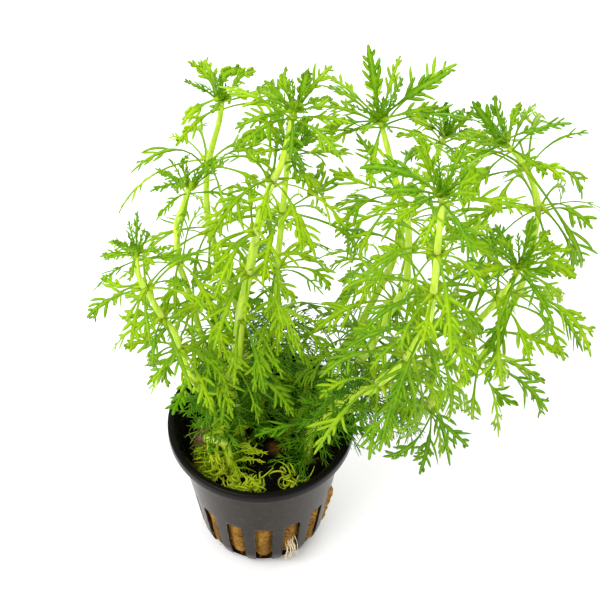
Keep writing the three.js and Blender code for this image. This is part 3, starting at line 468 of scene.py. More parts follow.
def best_sharing(turns):
    """The places round the stem, in order, that come nearest to the turns, and the turn of the first."""
    best = None
    for rest in itertools.combinations(range(1, LEAVES_PER_WHORL), len(turns) - 1):
        starts = [turn - 2 * math.pi / LEAVES_PER_WHORL * k for turn, k in zip(turns, (0, *rest))]
        phase = sum(starts) / len(starts)
        cost = sum((start - phase) ** 2 for start in starts)
        if best is None or cost < best[0]:
            best = (cost, (0, *rest), phase)
    return best[1:]


def ease_places(slots, least, most):
    """Moves even places towards the turns of their aimed leaves, as far as the room between them allows."""
    for ease in EASES:
        turns = [slot["turn"] + ease * (slot["own"] - slot["turn"]) for slot in slots]
        gaps = np.degrees(np.diff([turns[-1] - 2 * math.pi, *turns]))
        if min(gaps) >= least and max(gaps) <= most:
            for slot, turn in zip(slots, turns):
                slot["turn"] = turn
            return


def plan_whorl(stem, number, age):
    """A whorl's frame and its places round the stem, with the aimed leaves shared out among them."""
    half = math.pi / LEAVES_PER_WHORL
    arc = whorl_arc(stem, age)
    foot = (BUD_RADIUS, BUD_LIFT) if age == 0 else (ring_radius(stem, arc) + RING_WALL, 0)
    place = leaf_place(stem, arc, *foot)
    aimed = []
    for aim in stem["aimed"].get(age, []):
        reach = np.array(aim[:3]) - place["point"]
        aimed.append((math.atan2(reach @ place["back"], reach @ place["right"]), aim))
    aimed.sort(key=lambda pair: pair[0])
    scatter = math.radians((36 if age == 0 else 20) * vary(100 * number + age))
    taken, phase = best_sharing([turn for turn, _ in aimed]) if aimed else ((), half * age + scatter)
    slots = []
    for k in range(LEAVES_PER_WHORL):
        turn = phase + 2 * half * k
        own, aim = aimed[taken.index(k)] if k in taken else (turn, None)
        slots.append(dict(turn=turn, own=own, aim=aim, leaf=None))
    ease_places(slots, *(CROWN_SPACING if age == 0 else WHORL_SPACING))
    return dict(stem=stem, number=number, age=age, arc=arc, place=place, slots=slots,
                name=f"{stem['name']}_{age}")


for stem in STEMS:
    stem["path"] = smooth_route(stem["route"])
    stem["length"] = stem["path"][1][-1]
    sections = stem_sections(stem)
    for before, after in zip(sections, sections[1:]):
        standing.add(point_at(stem, before), point_at(stem, after), stem["radius"], stem["name"])

whorls = [plan_whorl(stem, number, age)
          for age in range(max(len(stem["whorls"]) for stem in STEMS) + 1)
          for number, stem in enumerate(STEMS) if stem["crown"] and age <= len(stem["whorls"])]
for whorl in whorls:
    place = whorl["place"]
    middle = place["point"] + place["axis"] * place["lift"]
    standing.add(middle - place["axis"] * RING_HALF_HEIGHT, middle + place["axis"] * RING_HALF_HEIGHT,
                 place["offset"], whorl["name"], True)
for whorl in whorls:
    for k, slot in enumerate(whorl["slots"]):
        if slot["aim"]:
            twist = math.radians(18 * vary(1000 * whorl["number"] + 40 * whorl["age"] + 7 * k + 5))
            slot["leaf"] = grow_aimed_leaf(whorl["place"], slot["turn"], slot["aim"], twist,
                                           whorl["stem"]["name"], whorl["name"])
for whorl in whorls:
    for k, slot in enumerate(whorl["slots"]):
        if slot["leaf"] is None:
            plan = leaf_plan(whorl["stem"], whorl["number"], k, whorl["age"], slot["turn"])
            slot["leaf"] = grow_leaf(whorl["place"], plan, whorl["stem"]["name"], whorl["name"])

low_leaves = {stem["name"]: [] for stem in STEMS}
for number, stem in enumerate(STEMS):
    for order, arc in enumerate(stem["low"]):
        for k in range(LOW_LEAF_COUNT):
            plan = scattered_plan(3000 + 90 * number + 30 * order + 5 * k,
                                  turn=(2 * math.pi * k / LOW_LEAF_COUNT, 40),
                                  length=(stem["leaf"] * LOW_LEAF_SHARE, 1, LOW_LENGTH_SCATTER),
                                  tilt=(62, 16), arch=20, droop=(LOW_LEAF_DROOP, 0), twist=25)
            leaf = grow_leaf(leaf_place(stem, arc, LOW_LEAF_FOOT), plan, stem["name"],
                             f"{stem['name']}_low_{order}")
            if leaf:
                low_leaves[stem["name"]].append(leaf)


# Meshes

def show(name, data):
    """A new object of the scene for a mesh, a light or a camera."""
    thing = bpy.data.objects.new(name, data)
    bpy.context.scene.collection.objects.link(thing)
    return thing


class Mesh:
    """Corners, faces and the painted values of a mesh in the making."""

    def __init__(self):
        self.corners = []
        self.faces = []
        self.values = []
        self.count = 0

    def take(self, corners, faces, along, core, tone):
        """Adds corners and faces with how far along the leaf, how near its middle, and its tone, which for
        whorl leaves also carries painted light and shade.
        """
        self.corners.append(np.asarray(corners, float))
        self.faces += [tuple(i + self.count for i in face) for face in faces]
        n = len(corners)
        self.values.append(np.column_stack([np.broadcast_to(along, n), np.broadcast_to(core, n),
                                            np.broadcast_to(tone, n)]))
        self.count += n

    def make(self, name, material):
        data = bpy.data.meshes.new(name)
        data.from_pydata((np.concatenate(self.corners) * MM).tolist(), [], self.faces)
        values = np.concatenate(self.values)
        for column, label in enumerate(("along", "core", "tone")):
            attribute = data.attributes.new(label, "FLOAT", "POINT")
            attribute.data.foreach_set("value", values[:, column].astype(np.float32))
        data.polygons.foreach_set("use_smooth", [True] * len(data.polygons))
        data.materials.append(material)
        return show(name, data)


# Lobes: places along them, and half widths there as shares of their own
LONG_LOBE = ((0.12, 0.3, 0.5, 0.7, 0.86, 0.96), (0.95, 1.0, 1.02, 0.9, 0.62, 0.3))
SHORT_LOBE = ((0.3, 0.65, 0.9), (1.0, 0.9, 0.45))
SHORT_LOBE_LENGTH = 1.6


class Blade:
    """A flat branching leaf in its own plane: s along the midrib, w to its left and h off its face."""

    def __init__(self):
        self.points = []
        self.faces = []
        self.along = []
        self.core = []

    def corner(self, s, w, h, along, core):
        self.points.append((s, w, h))
        self.along.append(along)
        self.core.append(core)
        return len(self.points) - 1

    def ring(self, centre, way, half, thick, along):
        (s, w), (ds, dw) = centre, way
        return [self.corner(s + dw * half, w - ds * half, 0, along, 0), self.corner(s, w, thick, along, 1),
                self.corner(s - dw * half, w + ds * half, 0, along, 0), self.corner(s, w, -thick, along, 1)]

    def joint(self, a, b, thick):
        """The top and bottom corners of an opening in the edge between corners a and b."""
        (sa, wa, _), (sb, wb, _) = self.points[a], self.points[b]
        along = self.along[a]
        return (self.corner((sa + sb) / 2, (wa + wb) / 2, thick, along, 0.6),
                self.corner((sa + sb) / 2, (wa + wb) / 2, -thick, along, 0.6))

    def span(self, a, b, left_open=None, right_open=None):
        """The four sides between two rings, with an opening in the left or right edge for a lobe."""
        (ra, ta, la, ba), (rb, tb, lb, bb) = a, b
        right_top = [ra, rb, tb, ta] if not right_open else [ra, right_open[0], rb, tb, ta]
        right_low = [ba, bb, rb, ra] if not right_open else [ba, bb, rb, right_open[1], ra]
        left_top = [ta, tb, lb, la] if not left_open else [ta, tb, lb, left_open[0], la]
        left_low = [la, lb, bb, ba] if not left_open else [la, left_open[1], lb, bb, ba]
        self.faces += [right_top, left_top, left_low, right_low]

    def close(self, ring, tip):
        for j in range(4):
            self.faces.append([ring[j], tip, ring[(j + 1) % 4]])

    def branch(self, root, centre, way, length, half, thick, along, curl, teeth, rng):
        """A finger-like lobe from its root opening, with a pointed tip and perhaps a few teeth."""
        shares, widths = LONG_LOBE if length > SHORT_LOBE_LENGTH else SHORT_LOBE
        heading = math.atan2(way[1], way[0])
        last = root
        position = np.array(centre, float)
        before = 0.0
        for number, (share, width) in enumerate(zip(shares, widths)):
            angle = heading - curl * share
            step_way = (math.cos(angle), math.sin(angle))
            position = position + np.array(step_way) * length * (share - before)
            before = share
            thin = thick * (1.0 - 0.3 * share)
            ring = self.ring(position, step_way, half * width, thin, along + 0.25 * share)
            openings = {side: self.opening(last, ring, side, thick * 0.6) for side in teeth.get(number, ())}
            self.span(last, ring, openings.get(1), openings.get(-1))
            for side, opening in openings.items():
                inner, middle = self.root(last, ring, side, opening)
                turn = angle + side * math.radians(rng.uniform(30, 44))
                self.branch(inner, middle, (math.cos(turn), math.sin(turn)), length * rng.uniform(0.34, 0.52),
                            half * 0.72, thick * 0.8, along + 0.2, side * 0.25, {}, rng)
            last = ring
        angle = heading - curl
        tip = position + np.array([math.cos(angle), math.sin(angle)]) * length * (1 - before)
        self.close(last, self.corner(tip[0], tip[1], 0, along + 0.27, 0))

    def opening(self, last, ring, side, thick):
        """The top and bottom corners of a lobe's root in the left (1) or right (-1) edge."""
        a, b = (last[2], ring[2]) if side > 0 else (last[0], ring[0])
        return self.joint(a, b, thick)

    def root(self, last, ring, side, opening):
        """The ring that a lobe starts from, and its middle."""
        a, b = (last[2], ring[2]) if side > 0 else (last[0], ring[0])
        inner = [b, opening[0], a, opening[1]] if side > 0 else [a, opening[0], b, opening[1]]
        return inner, (np.array(self.points[a][:2]) + np.array(self.points[b][:2])) / 2


# Each kind of leaf: its lobe pairs as (place along the leaf, length as a share of the leaf, half width), the
# half widths of the stalk and the blade, half the thickness, the angle of the lobes and the chance of a tooth
KINDS = {
    "stem": dict(pairs=((0.51, 0.27, 0.46), (0.67, 0.2, 0.45), (0.82, 0.11, 0.4)),
                 stalk=0.3, blade=0.68, thick=0.18, spread=38, toothed=0.03, hook=(-0.25, 0.5)),
    "rich": dict(pairs=((0.46, 0.28, 0.52), (0.6, 0.2, 0.5), (0.72, 0.15, 0.46), (0.83, 0.09, 0.4)),
                 stalk=0.32, blade=0.82, thick=0.2, spread=37, toothed=0.06, hook=(-0.25, 0.5)),
    "crown": dict(pairs=((0.4, 0.22, 0.42), (0.55, 0.22, 0.43), (0.69, 0.17, 0.42), (0.81, 0.11, 0.38)),
                  stalk=0.32, blade=0.7, thick=0.2, spread=38, toothed=0.06, hook=(-0.15, 0.3)),
    "small": dict(pairs=((0.32, 0.2, 0.27), (0.47, 0.21, 0.28), (0.62, 0.16, 0.27), (0.77, 0.1, 0.24)),
                  stalk=0.26, blade=0.42, thick=0.16, spread=36, toothed=0.0, hook=(-0.1, 0.3)),
    "broad": dict(pairs=((0.36, 0.19, 0.5), (0.5, 0.2, 0.53), (0.64, 0.16, 0.5), (0.77, 0.11, 0.44)),
                  stalk=0.36, blade=1.15, thick=0.2, spread=35, toothed=0.04, hook=(-0.15, 0.2)),
    "fine": dict(pairs=((0.22, 0.34, 0.18), (0.38, 0.38, 0.18), (0.55, 0.32, 0.18), (0.74, 0.24, 0.17)),
                 stalk=0.22, blade=0.24, thick=0.13, spread=46, toothed=0.35, hook=(-0.7, 0.9)),
    "thin": dict(pairs=((0.6, 0.2, 0.28), (0.79, 0.12, 0.24)),
                 stalk=0.25, blade=0.34, thick=0.13, spread=32, toothed=0.0, hook=(-0.1, 0.4)),
    "curly": dict(pairs=((0.3, 0.5, 0.2), (0.5, 0.44, 0.2), (0.72, 0.32, 0.18)),
                  stalk=0.28, blade=0.28, thick=0.15, spread=40, toothed=0.0, hook=(0.9, 2.8)),
    "young": dict(pairs=((0.34, 0.22, 0.19), (0.52, 0.24, 0.2), (0.7, 0.17, 0.19), (0.84, 0.1, 0.17)),
                  stalk=0.26, blade=0.28, thick=0.15, spread=33, toothed=0.0, hook=(-0.1, 0.3)),
}


TOOTHED_LENGTH = 2.2


def flat_leaf(length, kind, foot_half, sunk, rng):
    """The branching outline of one leaf, before it is bent to its midrib."""
    kind = KINDS[kind]
    blade = Blade()
    start = kind["pairs"][0][0] * length
    stalk = kind["stalk"]
    stations = [(-sunk, foot_half * 0.9, None)]
    for share, half in ((0, foot_half), (0.06, max(foot_half * 0.7, stalk * 1.2)), (0.17, stalk * 1.1),
                        (0.4, stalk), (0.66, stalk * 1.15), (0.86, stalk * 1.5)):
        stations.append((share * start, half, None))
    for i, (place, share, half) in enumerate(kind["pairs"]):
        base = half * 2.1
        at = length * (place + (rng.uniform(-0.025, 0.025) if i else 0.02))
        size = kind["blade"] * (1 - 0.3 * i / len(kind["pairs"]))
        both = rng.random() < 0.4
        first = (1, -1) if both else (rng.choice((1, -1)),)
        stations.append((at - base / 2, size, None))
        stations.append((at + base / 2, size * 0.95, (first, share, half, i)))
        if not both:
            later = at + base * rng.uniform(0.75, 1.3)
            stations.append((later, size * 0.92, None))
            second = ((-first[0],), share * rng.uniform(0.7, 1), half, i)
            stations.append((later + base * 0.95, size * 0.9, second))
    stations = [stations[0]] + [b for a, b in zip(stations, stations[1:])]
    kept = [stations[0]]
    for station in stations[1:]:
        s = max(station[0], kept[-1][0] + 0.12)
        kept.append((s, *station[1:]))
    end = max(length, kept[-1][0] + 0.9)
    last_s, last_half = kept[-1][0], kept[-1][1]
    tip_half = min(kind["blade"], kind["pairs"][-1][2] * 1.15)
    for share, half in ((0.3, (last_half + tip_half) / 2), (0.55, tip_half), (0.78, tip_half * 0.85),
                        (0.93, tip_half * 0.45)):
        kept.append((last_s + (end - last_s) * share, half, None))
    last = None
    for s, half, lobes in kept:
        along = max(s, 0) / length
        thick = kind["thick"] * (1.5 if s < start else 1.0)
        ring = blade.ring((s, 0), (1, 0), half, min(thick, half), along)
        if last is None:
            blade.faces.append(list(ring))
            last = ring
            continue
        sides = lobes[0] if lobes else ()
        openings = {side: blade.opening(last, ring, side, thick * 0.7) for side in sides}
        blade.span(last, ring, openings.get(1), openings.get(-1))
        for side, opening in openings.items():
            inner, middle = blade.root(last, ring, side, opening)
            turn = side * math.radians(kind["spread"] + rng.uniform(-14, 14) - 4 * lobes[3])
            reach = length * lobes[1] * rng.uniform(0.55, 1.25)
            teeth = {}
            if reach > TOOTHED_LENGTH:
                for place in (2, 3, 4):
                    if rng.random() < kind["toothed"] * (0.5 if place == 2 else 0.8):
                        teeth[place] = rng.choice(((1,), (-1,), (1, -1)))
            half = lobes[2] * rng.uniform(0.85, 1.15)
            blade.branch(inner, middle, (math.cos(turn), math.sin(turn)), reach, half, kind["thick"], along,
                         side * rng.uniform(*kind["hook"]), teeth, rng)
        last = ring
    blade.close(last, blade.corner(end, 0, 0, 1, 0))
    return blade


FOLD = 0.14
LIGHT = np.array([0, -0.64, 0.77])
LIGHT_PULL = 0.6
MOST_LIGHT_TWIST = 0.45


def light_twist(across, way):
    """How far a leaf twists about its midrib to turn a face to the light."""
    turn = math.atan(-(LIGHT @ across) / (LIGHT @ np.cross(way, across)))
    return min(max(LIGHT_PULL * turn, -MOST_LIGHT_TWIST), MOST_LIGHT_TWIST)


def bend_to(leaf, blade, rng, curl):
    """Lays a flat leaf along its midrib, folded a little, with its twist, its sway and its curling lobes."""
    ribs = leaf["ribs"]
    steps = len(ribs) - 1
    length = leaf["length"]
    flat = np.array(blade.points)
    t = flat[:, 0] / length * steps
    i = np.clip(np.floor(t).astype(int), 0, steps - 1)
    u = (t - i)[:, None]
    before = ribs[np.clip(i - 1, 0, steps)]
    p1, p2 = ribs[i], ribs[i + 1]
    after = ribs[np.clip(i + 2, 0, steps)]
    uc = np.clip(u, 0, 1)
    a, b, c = p2 - before, 2 * before - 5 * p1 + 4 * p2 - after, 3 * p1 - before - 3 * p2 + after
    centre = 0.5 * (2 * p1 + a * uc + b * uc ** 2 + c * uc ** 3) + (u - uc) * (p2 - p1)
    way = a + 2 * b * uc + 3 * c * uc ** 2
    way /= np.linalg.norm(way, axis=1)[:, None]
    across = leaf["across"] - way * (way @ leaf["across"])[:, None]
    across /= np.linalg.norm(across, axis=1)[:, None]
    top = np.cross(way, across)
    share = np.clip(flat[:, 0] / length, 0, 1.2)
    middle = len(flat) // 2
    pull = light_twist(across[middle], way[middle])
    twist = (leaf["twist"] + pull + rng.uniform(-0.7, 0.7) * share) * np.clip(share * 2, 0, 1)
    side = across * np.cos(twist)[:, None] + top * np.sin(twist)[:, None]
    face = top * np.cos(twist)[:, None] - across * np.sin(twist)[:, None]
    w, h = flat[:, 1], flat[:, 2]
    phase = rng.uniform(0, 6.3)
    sway = rng.uniform(-0.9, 0.9) * np.clip(share - 0.15, 0, 1) ** 2 * min(length / 20, 1.2)
    lift = FOLD * np.abs(w) - curl * w * w * rng.uniform(-0.6, 2.2)
    lift += 0.35 * np.sin(w * 0.7 + share * 5 + phase) * np.clip(np.abs(w) / 3, 0, 1)
    return centre + side * (w + sway)[:, None] + face * (h + lift)[:, None]


def dress_leaf(mesh, leaf, kind, seed, foot_half=0.8, sunk=1.3, tone=0, curl=0.04):
    """Adds one detailed leaf to a mesh, along the midrib of the solid's leaf."""
    rng = random.Random(seed)
    blade = flat_leaf(leaf["length"], kind, foot_half, sunk, rng)
    corners = bend_to(leaf, blade, rng, curl)
    own_tone = tone + rng.uniform(-1, 1)
    mesh.take(corners, blade.faces, np.clip(blade.along, 0, 1.3), blade.core, own_tone)


# Materials

BLACK = (0, 0, 0)
WHITE = (1, 1, 1)


class Finish:
    """A material in the making: its shader, and the nodes that feed it."""

    def __init__(self, name):
        self.material = bpy.data.materials.new(name)
        self.material.use_nodes = True
        self.nodes = self.material.node_tree.nodes
        self.links = self.material.node_tree.links
        self.shader = next(node for node in self.nodes if node.type == "BSDF_PRINCIPLED")

    def set(self, node, **values):
        """Sets sockets, named with _ for a space, to numbers and colours, or links what feeds them."""
        for name, value in values.items():
            socket = node.inputs[int(name[1:]) if name[1:].isdigit() else name.replace("_", " ")]
            if isinstance(value, bpy.types.NodeSocket):
                self.links.new(value, socket)
            elif isinstance(value, tuple) and len(socket.default_value) > len(value):
                socket.default_value = (*value, 1)
            else:
                socket.default_value = value

    def shade(self, **values):
        self.set(self.shader, **values)

    def noise(self, scale, detail, rough=0.5, stretch=None):
        """A noise texture over the object's own coordinates, in features per metre."""
        where = self.nodes.new("ShaderNodeTexCoord").outputs["Object"]
        texture = self.nodes.new("ShaderNodeTexNoise")
        if stretch:
            mapping = self.nodes.new("ShaderNodeMapping")
            self.set(mapping, Scale=stretch, Vector=where)
            where = mapping.outputs["Vector"]
        self.set(texture, Scale=scale, Detail=detail, Roughness=rough, Vector=where)
        return texture.outputs["Fac"]

    def painted(self, name):
        attribute = self.nodes.new("ShaderNodeAttribute")
        attribute.attribute_name = name
        return attribute.outputs["Fac"]

    def ramp(self, source, *stops):
        """Colours along a value."""
        node = self.nodes.new("ShaderNodeValToRGB")
        elements = node.color_ramp.elements
        while len(elements) < len(stops):
            elements.new(0.5)
        for element, (position, colour) in zip(elements, stops):
            element.position = position
            element.color = (*colour, 1)
        self.set(node, Fac=source)
        return node.outputs["Color"]

    def mix(self, factor, a, b, share=None):
        """Colour a turned to b by the factor, or by a share of it."""
        node = self.nodes.new("ShaderNodeMix")
        node.data_type = "RGBA"
        self.set(node, Factor=factor if share is None else self.maths("MULTIPLY", factor, share), A=a, B=b)
        return node.outputs["Result"]

    def maths(self, kind, a, b, c=0.5, clamp=False):
        node = self.nodes.new("ShaderNodeMath")
        node.operation = kind
        node.use_clamp = clamp
        self.set(node, _0=a, _1=b, _2=c)
        return node.outputs["Value"]

    def bump(self, height, strength, distance):
        node = self.nodes.new("ShaderNodeBump")
        self.set(node, Strength=strength, Distance=distance, Height=height)
        self.shade(Normal=node.outputs["Normal"])
        return self.material


def foliage(name, deep, bright, pale, tip):
    """Leaf tissue: a tone for each leaf with painted light and shade in it, mottling, a stalk darkened by
    painted shade, a pale foot and midrib, and dark tips.
    """
    leaf = Finish(name)
    mottle = leaf.maths("MULTIPLY", leaf.maths("SUBTRACT", leaf.noise(260, 3), 0.5), 1.2)
    # The tone holds painted light and shade as well as each leaf's random tone: leaves lighter or darker by
    # the side and height of their whorl.
    tone = leaf.maths("MULTIPLY_ADD", leaf.painted("tone"), 0.46, 0.45)
    colour = leaf.mix(leaf.maths("ADD", tone, mottle, clamp=True), deep, bright)
    fine = leaf.noise(2600, 2)
    colour = leaf.mix(fine, colour, bright, 0.25)
    colour = leaf.mix(leaf.maths("POWER", leaf.painted("core"), 6.0), colour, pale, 0.3)
    along = leaf.painted("along")
    # Painted shade: the inner stalk, from 0.04 to 0.5 along the leaf, is darkened towards the deep green.
    stalk = leaf.ramp(along, (0.04, BLACK), (0.14, WHITE), (0.36, WHITE), (0.5, BLACK))
    colour = leaf.mix(stalk, colour, deep, 0.4)
    colour = leaf.mix(leaf.ramp(along, (0, WHITE), (0.12, BLACK)), colour, pale, 0.45)
    colour = leaf.mix(leaf.ramp(along, (0.95, BLACK), (1.0, WHITE)), colour, tip, 0.5)
    leaf.shade(Base_Color=colour, Roughness=leaf.maths("MULTIPLY_ADD", fine, 0.2, 0.36),
               Specular_IOR_Level=0.13, Subsurface_Weight=0.35, Subsurface_Radius=(0.5, 1.0, 0.05),
               Subsurface_Scale=0.0006)
    return leaf.bump(fine, 0.25, 0.0002)


def stem_tissue():
    """Bright waxy stem: fine lengthwise streaks, pale swollen nodes, and faint brown specks and patches."""
    stem = Finish("stem_tissue")
    streak = stem.noise(900, 3, stretch=(1, 1, 0.12))
    colour = stem.ramp(streak, (0.3, (0.36, 0.56, 0.02)), (0.5, (0.5, 0.7, 0.03)), (0.7, (0.66, 0.8, 0.08)))
    colour = stem.mix(stem.painted("core"), colour, (0.68, 0.8, 0.2))
    tone = stem.painted("tone")
    patch = stem.ramp(stem.noise(90, 2), (0.6, BLACK), (0.75, WHITE))
    colour = stem.mix(stem.maths("MULTIPLY", patch, tone, clamp=True), colour, (0.5, 0.3, 0.03))
    specks = stem.ramp(stem.noise(1500, 1), (0.69, BLACK), (0.74, WHITE))
    colour = stem.mix(specks, colour, (0.3, 0.22, 0.02), 0.35)
    colour = stem.mix(stem.maths("SUBTRACT", tone, 1.0, clamp=True), colour, (0.09, 0.035, 0.012))
    stem.shade(Base_Color=colour, Roughness=0.36, Specular_IOR_Level=0.4, Subsurface_Weight=0.5,
               Subsurface_Radius=(1.0, 1.0, 0.2), Subsurface_Scale=0.0015)
    return stem.bump(streak, 0.35, 0.0003)


def pot_plastic():
    """Black moulded plastic: a soft sheen, faint scuffs and drying marks, and a lip painted darker, a painted
    shade for the rim's dim reflection.
    """
    pot = Finish("pot_plastic")
    marks = pot.noise(420, 4, 0.65)
    colour = pot.ramp(marks, (0.32, (0.003, 0.0025, 0.002)), (0.7, (0.028, 0.018, 0.01)))
    place = pot.nodes.new("ShaderNodeSeparateXYZ")
    pot.set(place, Vector=pot.nodes.new("ShaderNodeTexCoord").outputs["Object"])
    height = pot.maths("MULTIPLY", place.outputs["Z"], 1 / (MM * POT_HEIGHT))
    # Painted shade: the lip, above 0.915 of the pot's height, is painted nearly black where the rim reflects
    # little light.
    colour = pot.mix(pot.ramp(height, (0.915, BLACK), (0.93, WHITE)), colour, (0.003, 0.003, 0.003))
    pot.shade(Base_Color=colour, Roughness=pot.maths("MULTIPLY_ADD", marks, 0.3, 0.08),
              Specular_IOR_Level=0.1, Specular_Tint=(1, 0.82, 0.64))
    return pot.bump(pot.noise(1800, 3), 0.15, 0.0002)


def wool_fibre(dark, mid, light, painted_shade):
    """Rock wool: brown and orange strands with dark gaps between them painted as shade, and painted shade,
    nearly black, over the top inside the mouth.
    """
    wool = Finish("wool_brown")
    strands = wool.noise(700, 5, 0.7, stretch=(1, 1, 2.4))
    colour = wool.ramp(strands, (0.32, dark), (0.5, mid), (0.68, light))
    colour = wool.mix(wool.ramp(wool.noise(120, 2), (0.45, BLACK), (0.62, WHITE)), colour, dark, 0.4)
    # Painted shade over the top of the wool, by the core value.
    colour = wool.mix(wool.painted("core"), colour, painted_shade)
    wool.shade(Base_Color=colour, Roughness=0.8, Specular_IOR_Level=0.12)
    return wool.bump(strands, 0.9, 0.0012)


def root_tissue():
    root = Finish("root_tissue")
    spots = root.noise(900, 2)
    colour = root.ramp(spots, (0.35, (0.55, 0.42, 0.24)), (0.6, (0.82, 0.74, 0.56)))
    root.shade(Base_Color=colour, Roughness=0.5, Subsurface_Weight=0.3, Subsurface_Scale=0.0005)
    return root.bump(spots, 0.2, 0.0001)


leaf_green, young_green, low_green, curly_green = (foliage(*colours) for colours in (
    ("leaf_green", (0.07, 0.22, 0.001), (0.31, 0.5, 0.002), (0.46, 0.62, 0.02), (0.07, 0.1, 0.01)),
    ("young_green", (0.08, 0.24, 0.001), (0.31, 0.5, 0.002), (0.4, 0.58, 0.02), (0.07, 0.1, 0.01)),
    ("low_green", (0.025, 0.11, 0.001), (0.12, 0.3, 0.001), (0.26, 0.44, 0.01), (0.04, 0.08, 0.01)),
    ("curly_green", (0.2, 0.32, 0.002), (0.44, 0.56, 0.006), (0.5, 0.6, 0.03), (0.2, 0.2, 0.02))))
stem_green = stem_tissue()
plastic = pot_plastic()
wool_brown = wool_fibre((0.05, 0.018, 0.002), (0.36, 0.165, 0.02), (0.62, 0.36, 0.06), (0.006, 0.004, 0.003))
root_white = root_tissue()


def settle(piece, slot, *nodes):
    """Rides the piece on the plant's one body and hides the solids that it stands for. Its slot, the finish,
    is not used.
    """
    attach(piece, "root")
    if nodes:
        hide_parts(*nodes)


# Stems

def tube(mesh, points, radii, sides, along=0.0, core=0.0, tone=0.0):
    """A round tube along points, closed at both ends."""
    points = np.asarray(points, float)
    ways = np.gradient(points, axis=0)
    ways /= np.linalg.norm(ways, axis=1)[:, None]
    side = unit(np.cross(ways[0], [0.3, 1, 0.2]))
    corners = []
    turns = np.arange(sides) * 2 * math.pi / sides
    for point, way, radius in zip(points, ways, radii):
        side = unit(side - way * (side @ way))
        other = np.cross(way, side)
        corners.append(point + radius * (np.cos(turns)[:, None] * side + np.sin(turns)[:, None] * other))
    rows = len(points)
    faces = []
    for row in range(rows - 1):
        for k in range(sides):
            a, b = row * sides + k, row * sides + (k + 1) % sides
            faces.append((a, b, b + sides, a + sides))
    corners = np.concatenate(corners + [points[:1], points[-1:]])
    first, last = rows * sides, rows * sides + 1
    for k in range(sides):
        faces.append((first, (k + 1) % sides, k))
        faces.append((last, (rows - 1) * sides + k, (rows - 1) * sides + (k + 1) % sides))

    def spread(value):
        return np.append(np.repeat(value, sides), [value[0], value[-1]]) if np.ndim(value) else value
    mesh.take(corners, faces, spread(along), spread(core), spread(tone))


def grow_stem(number, stem):
    """A round stem with swollen pale nodes and an uneven thickness."""
    count = int(stem["length"] / 0.9)
    arcs = np.linspace(0, stem["length"], count)
    points = np.array([point_at(stem, arc) for arc in arcs])
    points[1:-1] = 0.25 * points[:-2] + 0.5 * points[1:-1] + 0.25 * points[2:]
    nodes = np.array([*stem["whorls"], *stem["low"]], float)
    near = np.min(np.abs(arcs[:, None] - nodes[None, :]), axis=1) if len(nodes) else np.full(count, 99.0)
    swell = np.exp(-(near / 1.9) ** 2)
    radii = np.array([stem_radius(stem, arc) for arc in arcs]) * 0.96
    radii = radii * (1 + 0.08 * swell + 0.035 * np.sin(arcs * 0.55 + number * 2.1)
                     + 0.02 * np.sin(arcs * 1.7 + number))
    mesh = Mesh()
    old = 1.0 if stem["name"] in ("g", "f", "old") else 0.25
    aged = old * np.clip(1.2 - arcs / 70, 0, 1)
    if stem["name"] == "old":
        aged = aged + 2 * np.clip((arcs - stem["length"] + 2.5) / 2, 0, 1)
    tube(mesh, points, radii, 20, along=arcs / stem["length"], core=0.8 * swell, tone=aged)
    return mesh.make(f"stem_{stem['name']}_tissue", stem_green)


for number, stem in enumerate(STEMS):
    settle(grow_stem(number, stem), "stem", f"stem_{stem['name']}")

# Leaves of the whorls and crowns

EXTRA_NUMBER = 20
EXTRA_RADIUS = 0.4
THIN = dict(radius=EXTRA_RADIUS, foot_radius=0.8)
YOUNG_LEAVES = {"c": 6, "d": 8, "b": 9}
USUAL_YOUNG = 13
SLENDER = ("c", "d")
# Tone offsets of the whorl leaves are painted light and shade: stems on the left lighter and those on the
# right darker, as the key light falls from the left; by age the crown a little darker, the first whorls below
# it lighter and the lowest whorls darker, a painted shade under the crowns.
LEFT_PAINTED_LIGHT = {"a": 0.2, "b": 0.28, "c": 0.2, "d": 0.1, "k": 0.1, "e": 0.1}
RIGHT_PAINTED_SHADE = -0.05
PAINTED_LIGHT_BY_AGE = (-0.12, 0.2, 0.08, -0.1, -0.2)
COLLAR_LEAVES = {"b": 3, "c": 3, "d": 3, "a": 7, "j": 7}
USUAL_COLLAR = 6
COLLAR_DROP = 2.2
LEAF_ROOT = 0.35
YOUNG_TURN = 2.4
YOUNG_SHADE = -0.9


def extra_leaves(whorl):
    """Thinner leaves between the main ones, where there is room for them."""
    stem, age, number = whorl["stem"], whorl["age"], whorl["number"]
    for k, slot in enumerate(whorl["slots"]):
        plan = leaf_plan(stem, number + EXTRA_NUMBER, k, age, slot["turn"] + math.pi / LEAVES_PER_WHORL)
        share = 0.74 + 0.2 * vary(77 * number + 13 * age + k)
        plan["length"] = (stem["crown"] if age == 0 else stem["leaf"]) * share
        plan["tilt"] += math.radians(-8 + 18 * vary(91 * number + 17 * age + 3 * k))
        plan["rich"] = False
        yield grow_leaf(whorl["place"], plan, stem["name"], whorl["name"], **THIN)


def collar_leaves(whorl):
    """Spreading leaves of the crowded whorl just under a growing tip."""
    stem = whorl["stem"]
    arc = stem["length"] - COLLAR_DROP
    place = leaf_place(stem, arc, stem_radius(stem, arc) + EXTRA_RADIUS)
    count = COLLAR_LEAVES.get(stem["name"], USUAL_COLLAR)
    for k in range(count):
        plan = scattered_plan(5000 + 170 * whorl["number"] + 7 * k, turn=(2 * math.pi * k / count, 16),
                              length=(stem["crown"], 1.2, 0.25), tilt=(66, 14), arch=30, droop=(0.35, 0.25),
                              twist=24)
        yield grow_leaf(place, plan, stem["name"], whorl["name"], **THIN)


def found(leaves):
    """The leaves that found room, numbered in order."""
    return enumerate([leaf for leaf in leaves if leaf])


